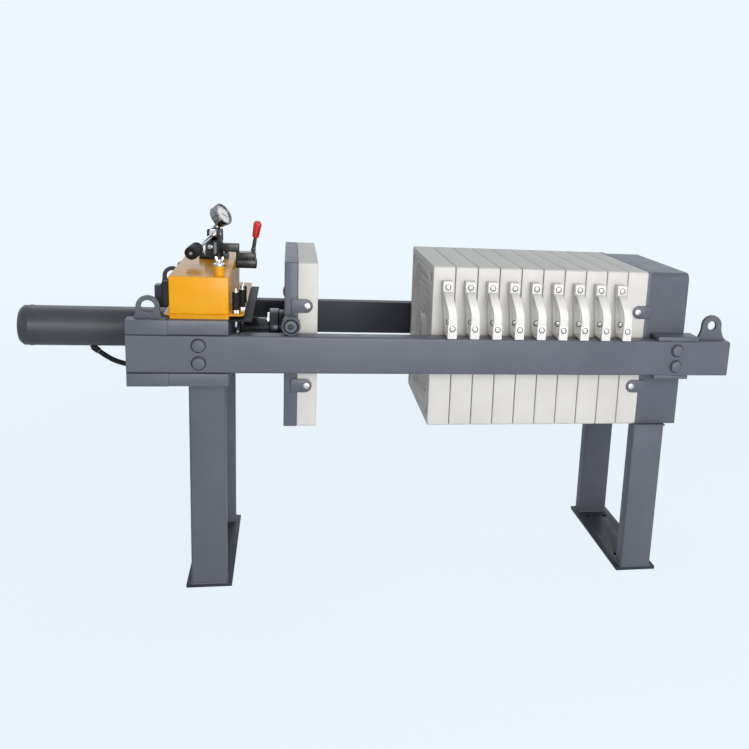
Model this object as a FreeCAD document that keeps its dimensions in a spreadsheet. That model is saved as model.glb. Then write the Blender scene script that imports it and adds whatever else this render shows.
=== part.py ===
import FreeCAD, Part
import math
import os
import Sketcher
from FreeCAD import Placement, Rotation, Vector

# Plate filter press with square recessed plates on two side beams, millimetres.
# The origin is on the floor, at the centre of the fixed stand's base plate.
# +X runs along the press to the fixed end, +Y to the far side, +Z up.

SIZES = {
    # filter plates and the stack that they make
    "plateSize": 450,
    "plateThick": 60,
    "clothGap": 1.8,
    "stackCentre": 684,
    "sealBorder": 34,
    "recessDepth": 13,
    "recessCorner": 78,
    "eyeRadius": 24,
    "bossRadius": 50,
    "cornerEye": 13,
    "cornerInset": 34,
    # end plates and the travel between them
    "headThick": 52,
    "tailThick": 60,
    "openGap": 307,
    "pressThick": 35,
    # fixed thrust block
    "thrustSetback": 40,
    "thrustThick": 124,
    "thrustRound": 22,
    "thrustInset": 1.5,
    "thrustFront": 10,
    "thrustWall": 10,
    "thrustRib": 12,
    "ribShift": 72,
    "feedPipe": 25,
    "feedWall": 8,
    "feedReach": 45,
    # side beams
    "beamClear": 14,
    "beamWide": 50,
    "beamHigh": 100,
    "beamAbove": 39,
    "beamOverrun": 117.5,
    "beamWall": 6,
    # cylinder seat, barrel and rod
    "rodShown": 139.4,
    "seatLong": 250,
    "wrapLong": 102,
    "seatStep": 3,
    "seatBelow": 35,
    "barrelRadius": 55,
    "boreRadius": 45,
    "barrelTail": 315,
    "barrelCap": 20,
    "barrelBevel": 10,
    "barrelRoll": 3,
    "glandRadius": 69,
    "glandThick": 22,
    "glandClear": 2,
    "rodRadius": 32,
    "rodFlange": 58,
    "rodFlangeThick": 42,
    "rodTail": 60,
    "pistonLong": 30,
    "studFlat": 9,
    "studHead": 7,
    "runGap": 0.3,
    "cutMargin": 5,
    # stands
    "legWide": 94,
    "legDeep": 50,
    "legWall": 4,
    "legProud": 13,
    "footThick": 10,
    "footMargin": 14,
    "footLip": 3,
    "anchorRadius": 9,
    "anchorAcross": 60,
    "anchorAlong": 300,
    "standSetback": 58,
    # lifting lugs
    "lugThick": 12,
    "seatLugWide": 70,
    "seatLugHigh": 58,
    "seatLugCrown": 29,
    "seatLugHole": 17,
    "seatLugClear": 2,
    "beamLugWide": 86,
    "beamLugHigh": 70,
    "beamLugCrown": 30,
    "beamLugHole": 13,
    "beamLugShift": 46,
    "beamLugSetback": 34,
    # thrust block's bearers on the beams
    "bearerThick": 12,
    "bearerPast": 20,
    "bearerShift": 22,
    "bearerSetback": 8,
    # clips that hold the two end plates
    "clipHigh": 37,
    "clipLong": 56,
    "clipThick": 5,
    "clipLap": 17,
    "clipRise": 109,
    # bolts
    "boltFlat": 15,
    "boltHead": 9,
    "boltRise": 23,
    "seatBoltShift": 176,
    "thrustBoltShift": 81,
    # rollers of the pressing plate
    "rollerRadius": 25,
    "rollerWide": 46,
    "rollerInset": 2,
    "axleRadius": 9,
    "hubRadius": 17,
    # plate handles
    "handleWide": 26,
    "handleShift": 7,
    "handleReach": 60,
    "handleBar": 9,
    "handleBlock": 12,
    "handleHigh": 149,
    "handleBow": 150,
    "blockHigh": 32,
    "handleKnee": 38,
    # oil tank and its pump
    "panelThick": 6,
    "panelWide": 59,
    "skirtHigh": 9,
    "tankWide": 147,
    "tankLong": 530,
    "tankHigh": 97,
    "tankWall": 3,
    "lipLeft": 14,
    "lipRight": 38,
    "lipSide": 3,
    "lipThick": 3,
    "neckRadius": 13.5,
    "neckHigh": 26,
    "neckInset": 24,
    "capRadius": 15,
    "capHigh": 9,
    "sideGripOut": 17,
    "sideGripLong": 36,
    "sideGripHigh": 64,
    "sideGripRise": 18,
    "farGripAcross": 82,
    "couplingRadius": 8,
    "couplingHigh": 53,
    "nearCouplingOut": 16,
    "nearCouplingAlong": 33,
    "middleCouplingOut": 30,
    "middleCouplingAlong": 80,
    "farCouplingOut": 30,
    "farCouplingAlong": 137,
    "stubRadius": 5.5,
    "stubHigh": 20,
    "pumpWide": 44,
    "pumpDeep": 56,
    "pumpHigh": 54,
    "pumpInset": 62,
    "pumpAcross": 100,
    "pumpTurn": 16,
    "pumpFootWide": 66,
    "pumpFootDeep": 78,
    "pumpFootHigh": 12,
    "forkWide": 34,
    "forkFront": 13,
    "forkAbove": 14,
    "armHigh": 24,
    "armWide": 28,
    "armLap": 8,
    "leverDrop": 12,
    "leverReach": 182,
    "leverRadius": 6.5,
    "leverHub": 13,
    "hubClear": 3,
    "gripRadius": 19,
    "gripLong": 52,
    "hubWide": 22,
    "gaugeRadius": 33,
    "gaugeThick": 28,
    "gaugeStem": 6,
    "gaugeClear": 1,
    "gaugeTurn": 27,
    "gaugeTilt": 30,
    "valveWide": 58,
    "valveHigh": 44,
    "valveDeep": 60,
    "valveDrop": 24,
    "valveLean": 9,
    "valveHub": 7,
    "valveHubInset": 10,
    "stemRadius": 5,
    "stemLong": 36,
    "knobFoot": 9,
    "knobRadius": 12,
    "knobHigh": 50,
    "knobCrown": 8,
    "hoseRadius": 7,
    "pipeRadius": 5,
    "portRadius": 9,
    "portLong": 26,
    "portRoot": 12,
    "portShift": 177,
    "portDip": 39,
}
PLATE_COUNT = 9


class Size:
    # A length that knows both its number and its formula in the sheet's cells.

    def __init__(self, text, value):
        self.text = text
        self.value = float(value)

    def __add__(self, other):
        other = as_size(other)
        return Size(f"({self.text} + {other.text})", self.value + other.value)

    def __sub__(self, other):
        other = as_size(other)
        return Size(f"({self.text} - {other.text})", self.value - other.value)

    def __mul__(self, factor):
        return Size(f"({self.text} * {factor})", self.value * factor)

    def __truediv__(self, factor):
        return Size(f"({self.text} / {factor})", self.value / factor)

    def __neg__(self):
        return Size(f"(0 - {self.text})", -self.value)


def as_size(number):
    if isinstance(number, Size):
        return number
    return Size(str(number), number)


os.makedirs("parts", exist_ok=True)
document = FreeCAD.newDocument("filter_press")
sheet = document.addObject("Spreadsheet::Sheet", "Sizes")
cell = {}
for row, (alias, number) in enumerate(SIZES.items(), start=1):
    sheet.set(f"A{row}", alias)
    sheet.set(f"B{row}", str(number))
    sheet.setAlias(f"B{row}", alias)
    cell[alias] = Size(f"Sizes.{alias}", number)
document.recompute()

nodes = []


def node(item, label):
    item.Label = label
    nodes.append(item)
    return item


def bind(item, prop, size):
    item.setExpression(prop, as_size(size).text)


def place(item, x, y, z):
    for axis, size in zip("xyz", (x, y, z)):
        bind(item, f"Placement.Base.{axis}", size)


def box(name, x_span, y_span, z_span):
    item = document.addObject("Part::Box", name)
    for prop, span in zip(("Length", "Width", "Height"), (x_span, y_span, z_span)):
        bind(item, prop, as_size(span[1]) - span[0])
    place(item, x_span[0], y_span[0], z_span[0])
    return item


TURNS = {
    "x": Rotation(Vector(0, 1, 0), 90),
    "y": Rotation(Vector(1, 0, 0), -90),
    "z": Rotation(),
}


def rod(name, axis, radius, start, length):
    item = document.addObject("Part::Cylinder", name)
    bind(item, "Radius", radius)
    bind(item, "Height", length)
    item.Placement = Placement(Vector(), TURNS[axis])
    place(item, *start)
    return item


def prism(name, sides, radius, start, length):
    # A many-sided bar along the press.
    item = document.addObject("Part::Prism", name)
    item.Polygon = sides
    bind(item, "Circumradius", radius)
    bind(item, "Height", length)
    item.Placement = Placement(Vector(), TURNS["x"])
    place(item, *start)
    return item


def fuse(name, items):
    item = document.addObject("Part::MultiFuse", name)
    item.Shapes = items
    item.Refine = True
    return item


def cut(name, base, tool):
    item = document.addObject("Part::Cut", name)
    item.Base = base
    item.Tool = tool
    item.Refine = True
    return item


def group(name, items):
    item = document.addObject("Part::Compound", name)
    item.Links = items
    return item


def mirrored(name, source, normal, height=0):
    item = document.addObject("Part::Mirroring", name)
    item.Source = source
    item.Normal = Vector(*normal)
    bind(item, "Base.z", height)
    return item


def both_sides(name, source):
    return group(name, [source, mirrored(f"{name}_far", source, (0, 1, 0))])


def four_ways(name, source, height):
    # The piece, its copy across the press, and both again below the given height.
    across = mirrored(f"{name}_far", source, (0, 1, 0))
    below = mirrored(f"{name}_low", source, (0, 0, 1), height)
    below_across = mirrored(f"{name}_low_far", below, (0, 1, 0))
    return group(name, [source, across, below, below_across])


def body(name):
    return document.addObject("PartDesign::Body", name)


def sketch_on(owner, role, name, shift=0):
    sketch = owner.newObject("Sketcher::SketchObject", name)
    plane = [item for item in owner.Origin.OriginFeatures if item.Role == role][0]
    sketch.AttachmentSupport = [(plane, "")]
    sketch.MapMode = "FlatFace"
    bind(sketch, "AttachmentOffset.Base.z", shift)
    return sketch


HALF = "half circle"


def fix(sketch, constraint, size):
    index = sketch.addConstraint(constraint)
    sketch.setExpression(f"Constraints[{index}]", as_size(size).text)


def fix_point(sketch, curve, end, across, up):
    # Ties a point of a curve to the sketch's origin by its two coordinates.
    for kind, size in (("DistanceX", across), ("DistanceY", up)):
        fix(sketch, Sketcher.Constraint(kind, -1, 1, curve, end, as_size(size).value), size)


def outline(sketch, corners):
    # A closed line through the corners. A corner may give the radius of the arc to the next
    # one, or HALF for a half circle across an upright or level gap.
    points = [Vector(as_size(c[0]).value, as_size(c[1]).value, 0) for c in corners]
    first = sketch.GeometryCount
    count = len(corners)
    for index, corner in enumerate(corners):
        start = points[index]
        end = points[(index + 1) % count]
        if len(corner) == 2:
            sketch.addGeometry(Part.LineSegment(start, end), False)
            continue
        half = (end - start).Length / 2
        radius = half if corner[2] == HALF else as_size(corner[2]).value
        middle = (start + end) / 2
        side = Vector(-(end - start).y, (end - start).x, 0).normalize()
        centre = middle + side * math.sqrt(radius * radius - half * half)
        begin = math.atan2(start.y - centre.y, start.x - centre.x)
        finish = math.atan2(end.y - centre.y, end.x - centre.x)
        circle = Part.Circle(centre, Vector(0, 0, 1), radius)
        sketch.addGeometry(Part.ArcOfCircle(circle, begin, finish), False)
    for index, corner in enumerate(corners):
        curve = first + index
        following = first + (index + 1) % count
        sketch.addConstraint(Sketcher.Constraint("Coincident", curve, 2, following, 1))
        fix_point(sketch, curve, 1, corner[0], corner[1])
        if len(corner) == 2:
            continue
        if corner[2] == HALF:
            level = abs(points[index].y - points[(index + 1) % count].y) < 1e-6
            kind, size = ("DistanceY", corner[1]) if level else ("DistanceX", corner[0])
            fix(sketch, Sketcher.Constraint(kind, -1, 1, curve, 3, as_size(size).value), size)
        else:
            fix(sketch, Sketcher.Constraint("Radius", curve, as_size(corner[2]).value), corner[2])


def ring(sketch, across, up, radius):
    across = as_size(across)
    up = as_size(up)
    radius = as_size(radius)
    circle = Part.Circle(Vector(across.value, up.value, 0), Vector(0, 0, 1), radius.value)
    curve = sketch.addGeometry(circle, False)
    fix_point(sketch, curve, 3, across, up)
    fix(sketch, Sketcher.Constraint("Radius", curve, radius.value), radius)


def pad(owner, sketch, length, middle=False, reverse=False):
    item = owner.newObject("PartDesign::Pad", f"{sketch.Name}_pad")
    item.Profile = sketch
    bind(item, "Length", length)
    item.SideType = "Symmetric" if middle else "One side"
    item.Reversed = reverse
    sketch.Visibility = False
    return item


def pocket(owner, sketch, length, middle=False, reverse=False):
    item = owner.newObject("PartDesign::Pocket", f"{sketch.Name}_pocket")
    item.Profile = sketch
    item.SideType = "Symmetric" if middle else "One side"
    bind(item, "Length", length)
    item.Reversed = reverse
    return item


def turned(name, profile, start):
    # A round piece about its own X axis, from a profile of (along, radius) corners.
    owner = body(name)
    sketch = sketch_on(owner, "XZ_Plane", f"{name}_profile")
    outline(sketch, profile)
    item = owner.newObject("PartDesign::Revolution", f"{name}_turn")
    item.Profile = sketch
    item.ReferenceAxis = (sketch, ["H_Axis"])
    item.Angle = 360
    owner.Placement = Placement()
    place(owner, *start)
    return owner


def framed(half_wide, half_high, centre):
    return [(-half_wide, centre - half_high), (half_wide, centre - half_high),
            (half_wide, centre + half_high), (-half_wide, centre + half_high)]


def eight_sided(half, corner, centre):
    inner = half - corner
    return [(-inner, centre - half), (inner, centre - half), (half, centre - inner),
            (half, centre + inner), (inner, centre + half), (-inner, centre + half),
            (-half, centre + inner), (-half, centre - inner)]


# Heights and widths that several pieces share.
half_plate = cell["plateSize"] / 2
centre_height = cell["stackCentre"]
plate_bottom = centre_height - half_plate
beam_top = centre_height + cell["beamAbove"]
beam_bottom = beam_top - cell["beamHigh"]
beam_middle = beam_top - cell["beamHigh"] / 2
beam_inner = half_plate + cell["beamClear"]
beam_outer = beam_inner + cell["beamWide"]
leg_outer = half_plate + cell["legProud"]
seat_top = centre_height + cell["glandRadius"] + cell["glandClear"] + cell["panelThick"]
seat_bottom = beam_bottom - cell["seatBelow"]

# Places along the press, from the fixed end to the cylinder.
thrust_face = -cell["thrustSetback"]
thrust_back = thrust_face + cell["thrustThick"]
beam_end = thrust_back + cell["beamOverrun"]
tail_face = thrust_face - cell["tailThick"]
pitch = cell["plateThick"] + cell["clothGap"]
stack_face = tail_face - pitch * PLATE_COUNT
head_face = stack_face - cell["openGap"]
press_face = head_face - cell["headThick"]
press_back = press_face - cell["pressThick"]
seat_front = press_back - cell["rodShown"]
seat_back = seat_front - cell["seatLong"]
wrap_end = seat_back + cell["wrapLong"]
barrel_end = seat_back - cell["barrelTail"]
tank_right = seat_front
tank_left = tank_right - cell["tankWide"]
half_tank = cell["tankLong"] / 2
lip_end = half_tank + cell["lipSide"]
lip_low = seat_top + cell["skirtHigh"]
lip_top = lip_low + cell["lipThick"]
tank_top = lip_top + cell["tankHigh"]
cover_low = tank_top - cell["tankWall"]
valve_low = tank_top - cell["valveDrop"]
valve_top = valve_low + cell["valveHigh"]


def plate_blank(name, left, thick, chambers):
    # A square plate with a shallow chamber in each face asked for (-1 cylinder side, 1 fixed side)
    # and a round boss left standing about its feed eye.
    blank = body(name)
    square = sketch_on(blank, "YZ_Plane", f"{name}_square")
    outline(square, framed(half_plate, half_plate, centre_height))
    pad(blank, square, thick)
    half_chamber = half_plate - cell["sealBorder"]
    for side in chambers:
        face = thick if side > 0 else 0
        chamber = sketch_on(blank, "YZ_Plane", f"{name}_chamber_{side + 1}", face)
        outline(chamber, eight_sided(half_chamber, cell["recessCorner"], centre_height))
        pocket(blank, chamber, cell["recessDepth"], reverse=side < 0)
    blank.Placement = Placement()
    bind(blank, "Placement.Base.x", left)
    boss = prism(f"{name}_boss", 24, cell["bossRadius"], (left, 0, centre_height), thick)
    return fuse(f"{name}_blank", [blank, boss])


def plate_eyes(name, left, thick, corners):
    # The feed eye at the middle, and the filtrate eyes in the corners of the sealing border.
    margin = cell["clothGap"]
    start = left - margin
    long = thick + margin * 2
    eyes = [prism(f"{name}_eye", 16, cell["eyeRadius"], (start, 0, centre_height), long)]
    reach = half_plate - cell["cornerInset"]
    if corners:
        for across in (-1, 1):
            for up in (-1, 1):
                eyes.append(prism(f"{name}_corner_{across + 1}_{up + 1}", 10, cell["cornerEye"],
                                  (start, reach * across, centre_height + reach * up), long))
    return fuse(f"{name}_eyes", eyes)


def make_plate(name, left, thick, chambers):
    return cut(f"{name}_plate", plate_blank(name, left, thick, chambers),
               plate_eyes(name, left, thick, True))


def make_handle(name, middle, far):
    # A flat bowed grip beside the plate; its foot slides on the beam.
    handle = body(name)
    profile = sketch_on(handle, "YZ_Plane", f"{name}_profile")
    bar = cell["handleBar"]
    inner = half_plate
    outer = half_plate + cell["handleReach"]
    foot = beam_top + cell["runGap"]
    top = foot + cell["handleHigh"]
    block_low = top - cell["blockHigh"]
    knee = foot + cell["handleKnee"]
    block_out = inner + cell["handleBlock"]
    outline(profile, [
        (inner, foot), (outer, foot), (outer, knee, cell["handleBow"]),
        (block_out, block_low), (block_out, top), (inner, top)])
    outline(profile, [
        (inner + bar, foot + bar), (outer - bar, foot + bar),
        (outer - bar, knee, cell["handleBow"]), (inner + bar, block_low - bar)])
    pad(handle, profile, cell["handleWide"], middle=True)
    handle.Placement = Placement(Vector(), Rotation(Vector(0, 0, 1), 0 if far else 180))
    bind(handle, "Placement.Base.x", middle)
    return handle


for number in range(1, PLATE_COUNT + 1):
    plate_left = tail_face - pitch * (PLATE_COUNT + 1 - number)
    thick = cell["plateThick"]
    node(make_plate(f"pack_{number}", plate_left, thick, (-1, 1)), f"filter_plate_{number}")
    grip_middle = plate_left + thick / 2 + cell["handleShift"]
    pair = [make_handle(f"grip_{number}_near", grip_middle, False),
            make_handle(f"grip_{number}_far", grip_middle, True)]
    node(group(f"grips_{number}", pair), f"plate_handles_{number}")

node(make_plate("tail", tail_face, cell["tailThick"], (-1,)), "tail_end_plate")
node(plate_blank("head", press_face, cell["headThick"], (1,)), "head_end_plate")


def make_beam():
    # A hollow box section, closed at its free end.
    beam = body("beam")
    section = sketch_on(beam, "YZ_Plane", "beam_section")
    outline(section, [(-beam_outer, beam_bottom), (-beam_inner, beam_bottom),
                      (-beam_inner, beam_top), (-beam_outer, beam_top)])
    beam_long = beam_end - seat_back
    pad(beam, section, beam_long)
    wall = cell["beamWall"]
    hollow = sketch_on(beam, "YZ_Plane", "beam_hollow")
    outline(hollow, [(-beam_outer + wall, beam_bottom + wall), (-beam_inner - wall, beam_bottom + wall),
                     (-beam_inner - wall, beam_top - wall), (-beam_outer + wall, beam_top - wall)])
    pocket(beam, hollow, beam_long - wall, reverse=True)
    beam.Placement = Placement()
    bind(beam, "Placement.Base.x", seat_back)
    return beam


near_beam = make_beam()
node(near_beam, "near_side_beam")
node(mirrored("far_beam", near_beam, (0, 1, 0)), "far_side_beam")


def make_seat():
    wraps = box("seat_wraps", (seat_back, wrap_end), (-beam_outer, beam_outer),
                (seat_bottom, seat_top))
    block_half = beam_outer - cell["seatStep"]
    block = box("seat_block", (wrap_end, seat_front), (-block_half, block_half),
                (seat_bottom, seat_top))
    whole = fuse("seat_whole", [wraps, block])
    margin = cell["cutMargin"]
    slots = []
    for side in (-1, 1):
        low, high = (-beam_outer - margin, -beam_inner) if side < 0 else (beam_inner, beam_outer + margin)
        slots.append(box(f"seat_slot_{side + 1}", (seat_back - margin, seat_front + margin),
                         (low, high), (beam_bottom, beam_top)))
    slots.append(rod("seat_bore", "x", cell["barrelRadius"],
                     (seat_back - margin, 0, centre_height), cell["seatLong"] + margin * 2))
    return cut("seat", whole, fuse("seat_slots", slots))


node(make_seat(), "cylinder_seat")


barrel_long = seat_front - barrel_end
bevel = cell["barrelBevel"]
roll = cell["barrelRoll"]
node(turned("barrel", [
    (0, 0), (cell["barrelCap"], 0), (cell["barrelCap"], cell["boreRadius"]),
    (barrel_long, cell["boreRadius"]), (barrel_long, cell["barrelRadius"]),
    (bevel, cell["barrelRadius"]), (roll, cell["barrelRadius"] - roll),
    (0, cell["barrelRadius"] - bevel)], (barrel_end, 0, centre_height)), "cylinder_barrel")

gland_outer = rod("gland_outer", "x", cell["glandRadius"], (seat_front, 0, centre_height),
                  cell["glandThick"])
gland_bore = rod("gland_bore", "x", cell["rodRadius"] + cell["runGap"],
                 (seat_front - cell["cutMargin"], 0, centre_height),
                 cell["glandThick"] + cell["cutMargin"] * 2)
node(cut("gland", gland_outer, gland_bore), "cylinder_gland")

# The rod ends in a flange on the pressing plate and reaches back through the gland.
rod_tail = barrel_end + cell["barrelCap"] + cell["rodTail"]
ram = rod("ram", "x", cell["rodRadius"], (rod_tail, 0, centre_height),
          press_back - cell["rodFlangeThick"] - rod_tail)
ram_flange = rod("ram_flange", "x", cell["rodFlange"],
                 (press_back - cell["rodFlangeThick"], 0, centre_height), cell["rodFlangeThick"])
piston = rod("piston", "x", cell["boreRadius"] - cell["runGap"], (rod_tail, 0, centre_height),
             cell["pistonLong"])
node(fuse("ram_whole", [ram, ram_flange, piston]), "piston_rod")

# Four studs hold the flange, on its face towards the cylinder, midway between rod and rim.
stud_reach = (cell["rodRadius"] + cell["rodFlange"]) / 2 * math.sin(math.radians(45))
stud = prism("stud", 6, cell["studFlat"],
             (press_back - cell["rodFlangeThick"] - cell["studHead"], -stud_reach,
              centre_height + stud_reach), cell["studHead"])
node(four_ways("studs", stud, centre_height), "flange_studs")

node(box("press_slab", (press_back, press_face), (-half_plate, half_plate),
         (plate_bottom, centre_height + half_plate)), "pressing_plate")


def make_thrust_block():
    # A square front plate with a formed box behind it, ribbed and open at the back.
    front = body("thrust_front")
    square = sketch_on(front, "YZ_Plane", "thrust_square")
    outline(square, framed(half_plate, half_plate, centre_height))
    pad(front, square, cell["thrustFront"])
    place(front, thrust_face, 0, 0)
    casing = body("thrust_casing")
    section = sketch_on(casing, "YZ_Plane", "thrust_section")
    round_by = cell["thrustRound"]
    for inset, corner in ((cell["thrustInset"], round_by),
                          (cell["thrustInset"] + cell["thrustWall"], round_by - cell["thrustWall"])):
        side = half_plate - inset
        low = centre_height - side
        high = centre_height + side
        outline(section, [(-side, low), (side, low), (side, high - corner, corner),
                          (side - corner, high), (corner - side, high, corner),
                          (-side, high - corner)])
    casing_long = cell["thrustThick"] - cell["thrustFront"]
    pad(casing, section, casing_long)
    casing_face = thrust_face + cell["thrustFront"]
    place(casing, casing_face, 0, 0)
    inside = half_plate - cell["thrustInset"] - cell["thrustWall"]
    half_rib = cell["thrustRib"] / 2
    ribs = []
    for shift in (-cell["ribShift"], cell["ribShift"]):
        ribs.append(box(f"rib_upright_{len(ribs)}", (casing_face, thrust_back),
                        (shift - half_rib, shift + half_rib),
                        (centre_height - inside, centre_height + inside)))
        ribs.append(box(f"rib_level_{len(ribs)}", (casing_face, thrust_back), (-inside, inside),
                        (centre_height + shift - half_rib, centre_height + shift + half_rib)))
    solid = fuse("thrust_solid", [front, casing] + ribs)
    margin = cell["cutMargin"]
    eye = rod("thrust_eye", "x", cell["feedPipe"] + cell["feedWall"],
              (thrust_face - margin, 0, centre_height), cell["thrustFront"] + margin * 2)
    return cut("thrust", solid, eye)


node(make_thrust_block(), "thrust_block")

# The feed pipe runs through the front plate and out past the open back.
feed_long = cell["thrustThick"] + cell["feedReach"]
feed_outer = rod("feed_outer", "x", cell["feedPipe"] + cell["feedWall"], (thrust_face, 0, centre_height),
                 feed_long)
feed_bore = rod("feed_bore", "x", cell["feedPipe"],
                (thrust_face - cell["cutMargin"], 0, centre_height),
                feed_long + cell["cutMargin"] * 2)
node(cut("feed_inlet_cut", feed_outer, feed_bore), "feed_inlet")

bearer_start = thrust_face + cell["bearerShift"]
bearer_end = thrust_back + cell["bearerPast"]
block_side = half_plate - cell["thrustInset"]
upper_bearer = box("upper_bearer", (bearer_start, bearer_end), (-beam_outer, -block_side),
                   (beam_top, beam_top + cell["bearerThick"]))
lower_bearer = box("lower_bearer", (bearer_start, thrust_back),
                   (cell["bearerSetback"] - beam_outer, -block_side),
                   (beam_bottom - cell["bearerThick"], beam_bottom))
node(group("bearers", [upper_bearer, lower_bearer, mirrored("upper_bearer_far", upper_bearer, (0, 1, 0)),
                       mirrored("lower_bearer_far", lower_bearer, (0, 1, 0))]), "thrust_bearers")


def make_lug(name, middle, stand, outer):
    wide, high, crown = (cell[f"{name}{part}"] for part in ("Wide", "High", "Crown"))
    lug = body(name)
    face = sketch_on(lug, "XZ_Plane", f"{name}_face")
    outline(face, [(middle - wide / 2, stand), (middle + wide / 2, stand),
                   (middle + crown, stand + high - crown, HALF), (middle - crown, stand + high - crown)])
    ring(face, middle, stand + high - crown, cell[f"{name}Hole"])
    pad(lug, face, cell["lugThick"])
    bind(lug, "Placement.Base.y", cell["lugThick"] - outer)
    return both_sides(f"{name}s", lug)


seat_lug_end = tank_left - cell["lipLeft"] - cell["seatLugClear"]
node(make_lug("seatLug", seat_lug_end - cell["seatLugWide"] / 2, seat_top, half_tank), "seat_lifting_lugs")
node(make_lug("beamLug", beam_end - cell["beamLugShift"], beam_top,
              beam_outer - cell["beamLugSetback"]), "beam_lifting_lugs")


def make_clips(name, seam, direction):
    # Four straps, each from the steel plate's side on to the plastic one, round at that end.
    clip = body(name)
    face = sketch_on(clip, "XZ_Plane", f"{name}_face")
    high = centre_height + cell["clipRise"]
    half = cell["clipHigh"] / 2
    heel = seam - cell["clipLap"] * direction
    bend = heel + (cell["clipLong"] - half) * direction
    start, end = (high - half, high + half) if direction > 0 else (high + half, high - half)
    outline(face, [(heel, end), (heel, start), (bend, start, HALF), (bend, end)])
    pad(clip, face, cell["clipThick"])
    bind(clip, "Placement.Base.y", -half_plate)
    return four_ways(f"{name}s", clip, centre_height)


node(make_clips("tail_clip", thrust_face, -1), "tail_plate_clips")
node(make_clips("head_clip", press_face, 1), "head_plate_clips")


def make_stand(name, middle, top, anchored):
    # Two tubular legs on one flat foot.
    legs = []
    for side in (-1, 1):
        leg = body(f"{name}_leg_{side + 1}")
        section = sketch_on(leg, "XY_Plane", f"{name}_leg_section_{side + 1}", cell["footThick"])
        half = cell["legWide"] / 2
        wall = cell["legWall"]
        near = leg_outer - cell["legDeep"]
        low, high = (near, leg_outer) if side > 0 else (-leg_outer, -near)
        outline(section, [(-half, low), (half, low), (half, high), (-half, high)])
        outline(section, [(-half + wall, low + wall), (half - wall, low + wall),
                          (half - wall, high - wall), (-half + wall, high - wall)])
        pad(leg, section, top - cell["footThick"])
        leg.Placement = Placement()
        bind(leg, "Placement.Base.x", middle)
        legs.append(leg)
    foot = body(f"{name}_foot")
    plan = sketch_on(foot, "XY_Plane", f"{name}_foot_plan")
    half_wide = cell["legWide"] / 2 + cell["footMargin"]
    half_long = leg_outer + cell["footLip"]
    outline(plan, [(-half_wide, -half_long), (half_wide, -half_long),
                   (half_wide, half_long), (-half_wide, half_long)])
    if anchored:
        for across in (-1, 1):
            for along in (-1, 1):
                ring(plan, cell["anchorAcross"] / 2 * across, cell["anchorAlong"] / 2 * along,
                     cell["anchorRadius"])
    pad(foot, plan, cell["footThick"])
    bind(foot, "Placement.Base.x", middle)
    node(group(f"{name}_pair", legs), f"{name}_legs")
    node(foot, f"{name}_base")


make_stand("thrust_stand", as_size(0), plate_bottom, True)
make_stand("cylinder_stand", seat_front - cell["standSetback"], seat_bottom, False)


def make_bolts(name, middle):
    # Hexagon heads flat on the beam's outer face.
    head = document.addObject("Part::Prism", name)
    head.Polygon = 6
    bind(head, "Circumradius", cell["boltFlat"] / math.cos(math.radians(30)))
    bind(head, "Height", cell["boltHead"])
    head.Placement = Placement(Vector(), TURNS["y"])
    place(head, middle, -beam_outer - cell["boltHead"], beam_middle + cell["boltRise"])
    return four_ways(f"{name}s", head, beam_middle)


node(make_bolts("seat_bolt", seat_back + cell["seatBoltShift"]), "seat_bolts")
node(make_bolts("thrust_bolt", thrust_face + cell["thrustBoltShift"]), "thrust_bolts")

roller_x = press_back + cell["pressThick"] / 2
roller_z = beam_top + cell["rollerRadius"] + cell["runGap"]
roller_y = beam_outer - cell["rollerInset"]


def make_rollers():
    axle = rod("axle", "y", cell["axleRadius"], (roller_x, -roller_y, roller_z), roller_y - half_plate)
    hub_long = roller_y - half_plate - cell["rollerWide"] - cell["runGap"]
    hub = rod("hub", "y", cell["hubRadius"], (roller_x, -half_plate - hub_long, roller_z), hub_long)
    node(both_sides("axles", fuse("axle_whole", [axle, hub])), "roller_axles")
    outer = rod("roller_outer", "y", cell["rollerRadius"], (roller_x, -roller_y, roller_z),
                cell["rollerWide"])
    hole = rod("roller_hole", "y", cell["axleRadius"] + cell["runGap"],
               (roller_x, -roller_y - cell["cutMargin"], roller_z),
               cell["rollerWide"] + cell["cutMargin"] * 2)
    near = cut("roller_near", outer, hole)
    node(near, "near_roller")
    node(mirrored("roller_far", near, (0, 1, 0)), "far_roller")


make_rollers()


def make_tank():
    # A sheet box on a skirt, with a lip round its foot; the cover closes it.
    wall = cell["tankWall"]
    skirt = box("skirt", (tank_left, tank_right), (-half_tank, half_tank), (seat_top, lip_low))
    lip = box("lip", (tank_left - cell["lipLeft"], tank_right + cell["lipRight"]),
              (-lip_end, lip_end), (lip_low, lip_top))
    shell = box("shell", (tank_left, tank_right), (-half_tank, half_tank), (lip_top, cover_low))
    hollow = box("hollow", (tank_left + wall, tank_right - wall),
                 (wall - half_tank, half_tank - wall), (lip_top, cover_low + wall))
    node(cut("tank", fuse("tank_whole", [skirt, lip, shell]), hollow), "oil_tank")
    cover = box("cover", (tank_left, tank_right), (-half_tank, half_tank), (cover_low, tank_top))
    node(cover, "tank_cover")
    panel = box("panel", (seat_front, seat_front + cell["panelWide"]), (-lip_end, lip_end),
                (seat_top - cell["panelThick"], seat_top))
    node(panel, "mounting_panel")


make_tank()


def make_filler():
    middle = (tank_right - cell["neckInset"], cell["neckInset"] - half_tank, tank_top)
    neck = rod("neck", "z", cell["neckRadius"], middle, cell["neckHigh"])
    cap = rod("cap", "z", cell["capRadius"], middle[:2] + (tank_top + cell["neckHigh"],),
              cell["capHigh"])
    node(neck, "filler_neck")
    node(cap, "filler_cap")


make_filler()

side_grips = []
for number, across in enumerate((-half_tank, cell["farGripAcross"])):
    grip_low = lip_top + cell["sideGripRise"]
    side_grips.append(box(f"side_grip_{number}", (tank_left - cell["sideGripOut"], tank_left),
                          (across, across + cell["sideGripLong"]),
                          (grip_low, grip_low + cell["sideGripHigh"])))
node(group("side_grips", side_grips), "tank_side_grips")

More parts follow.
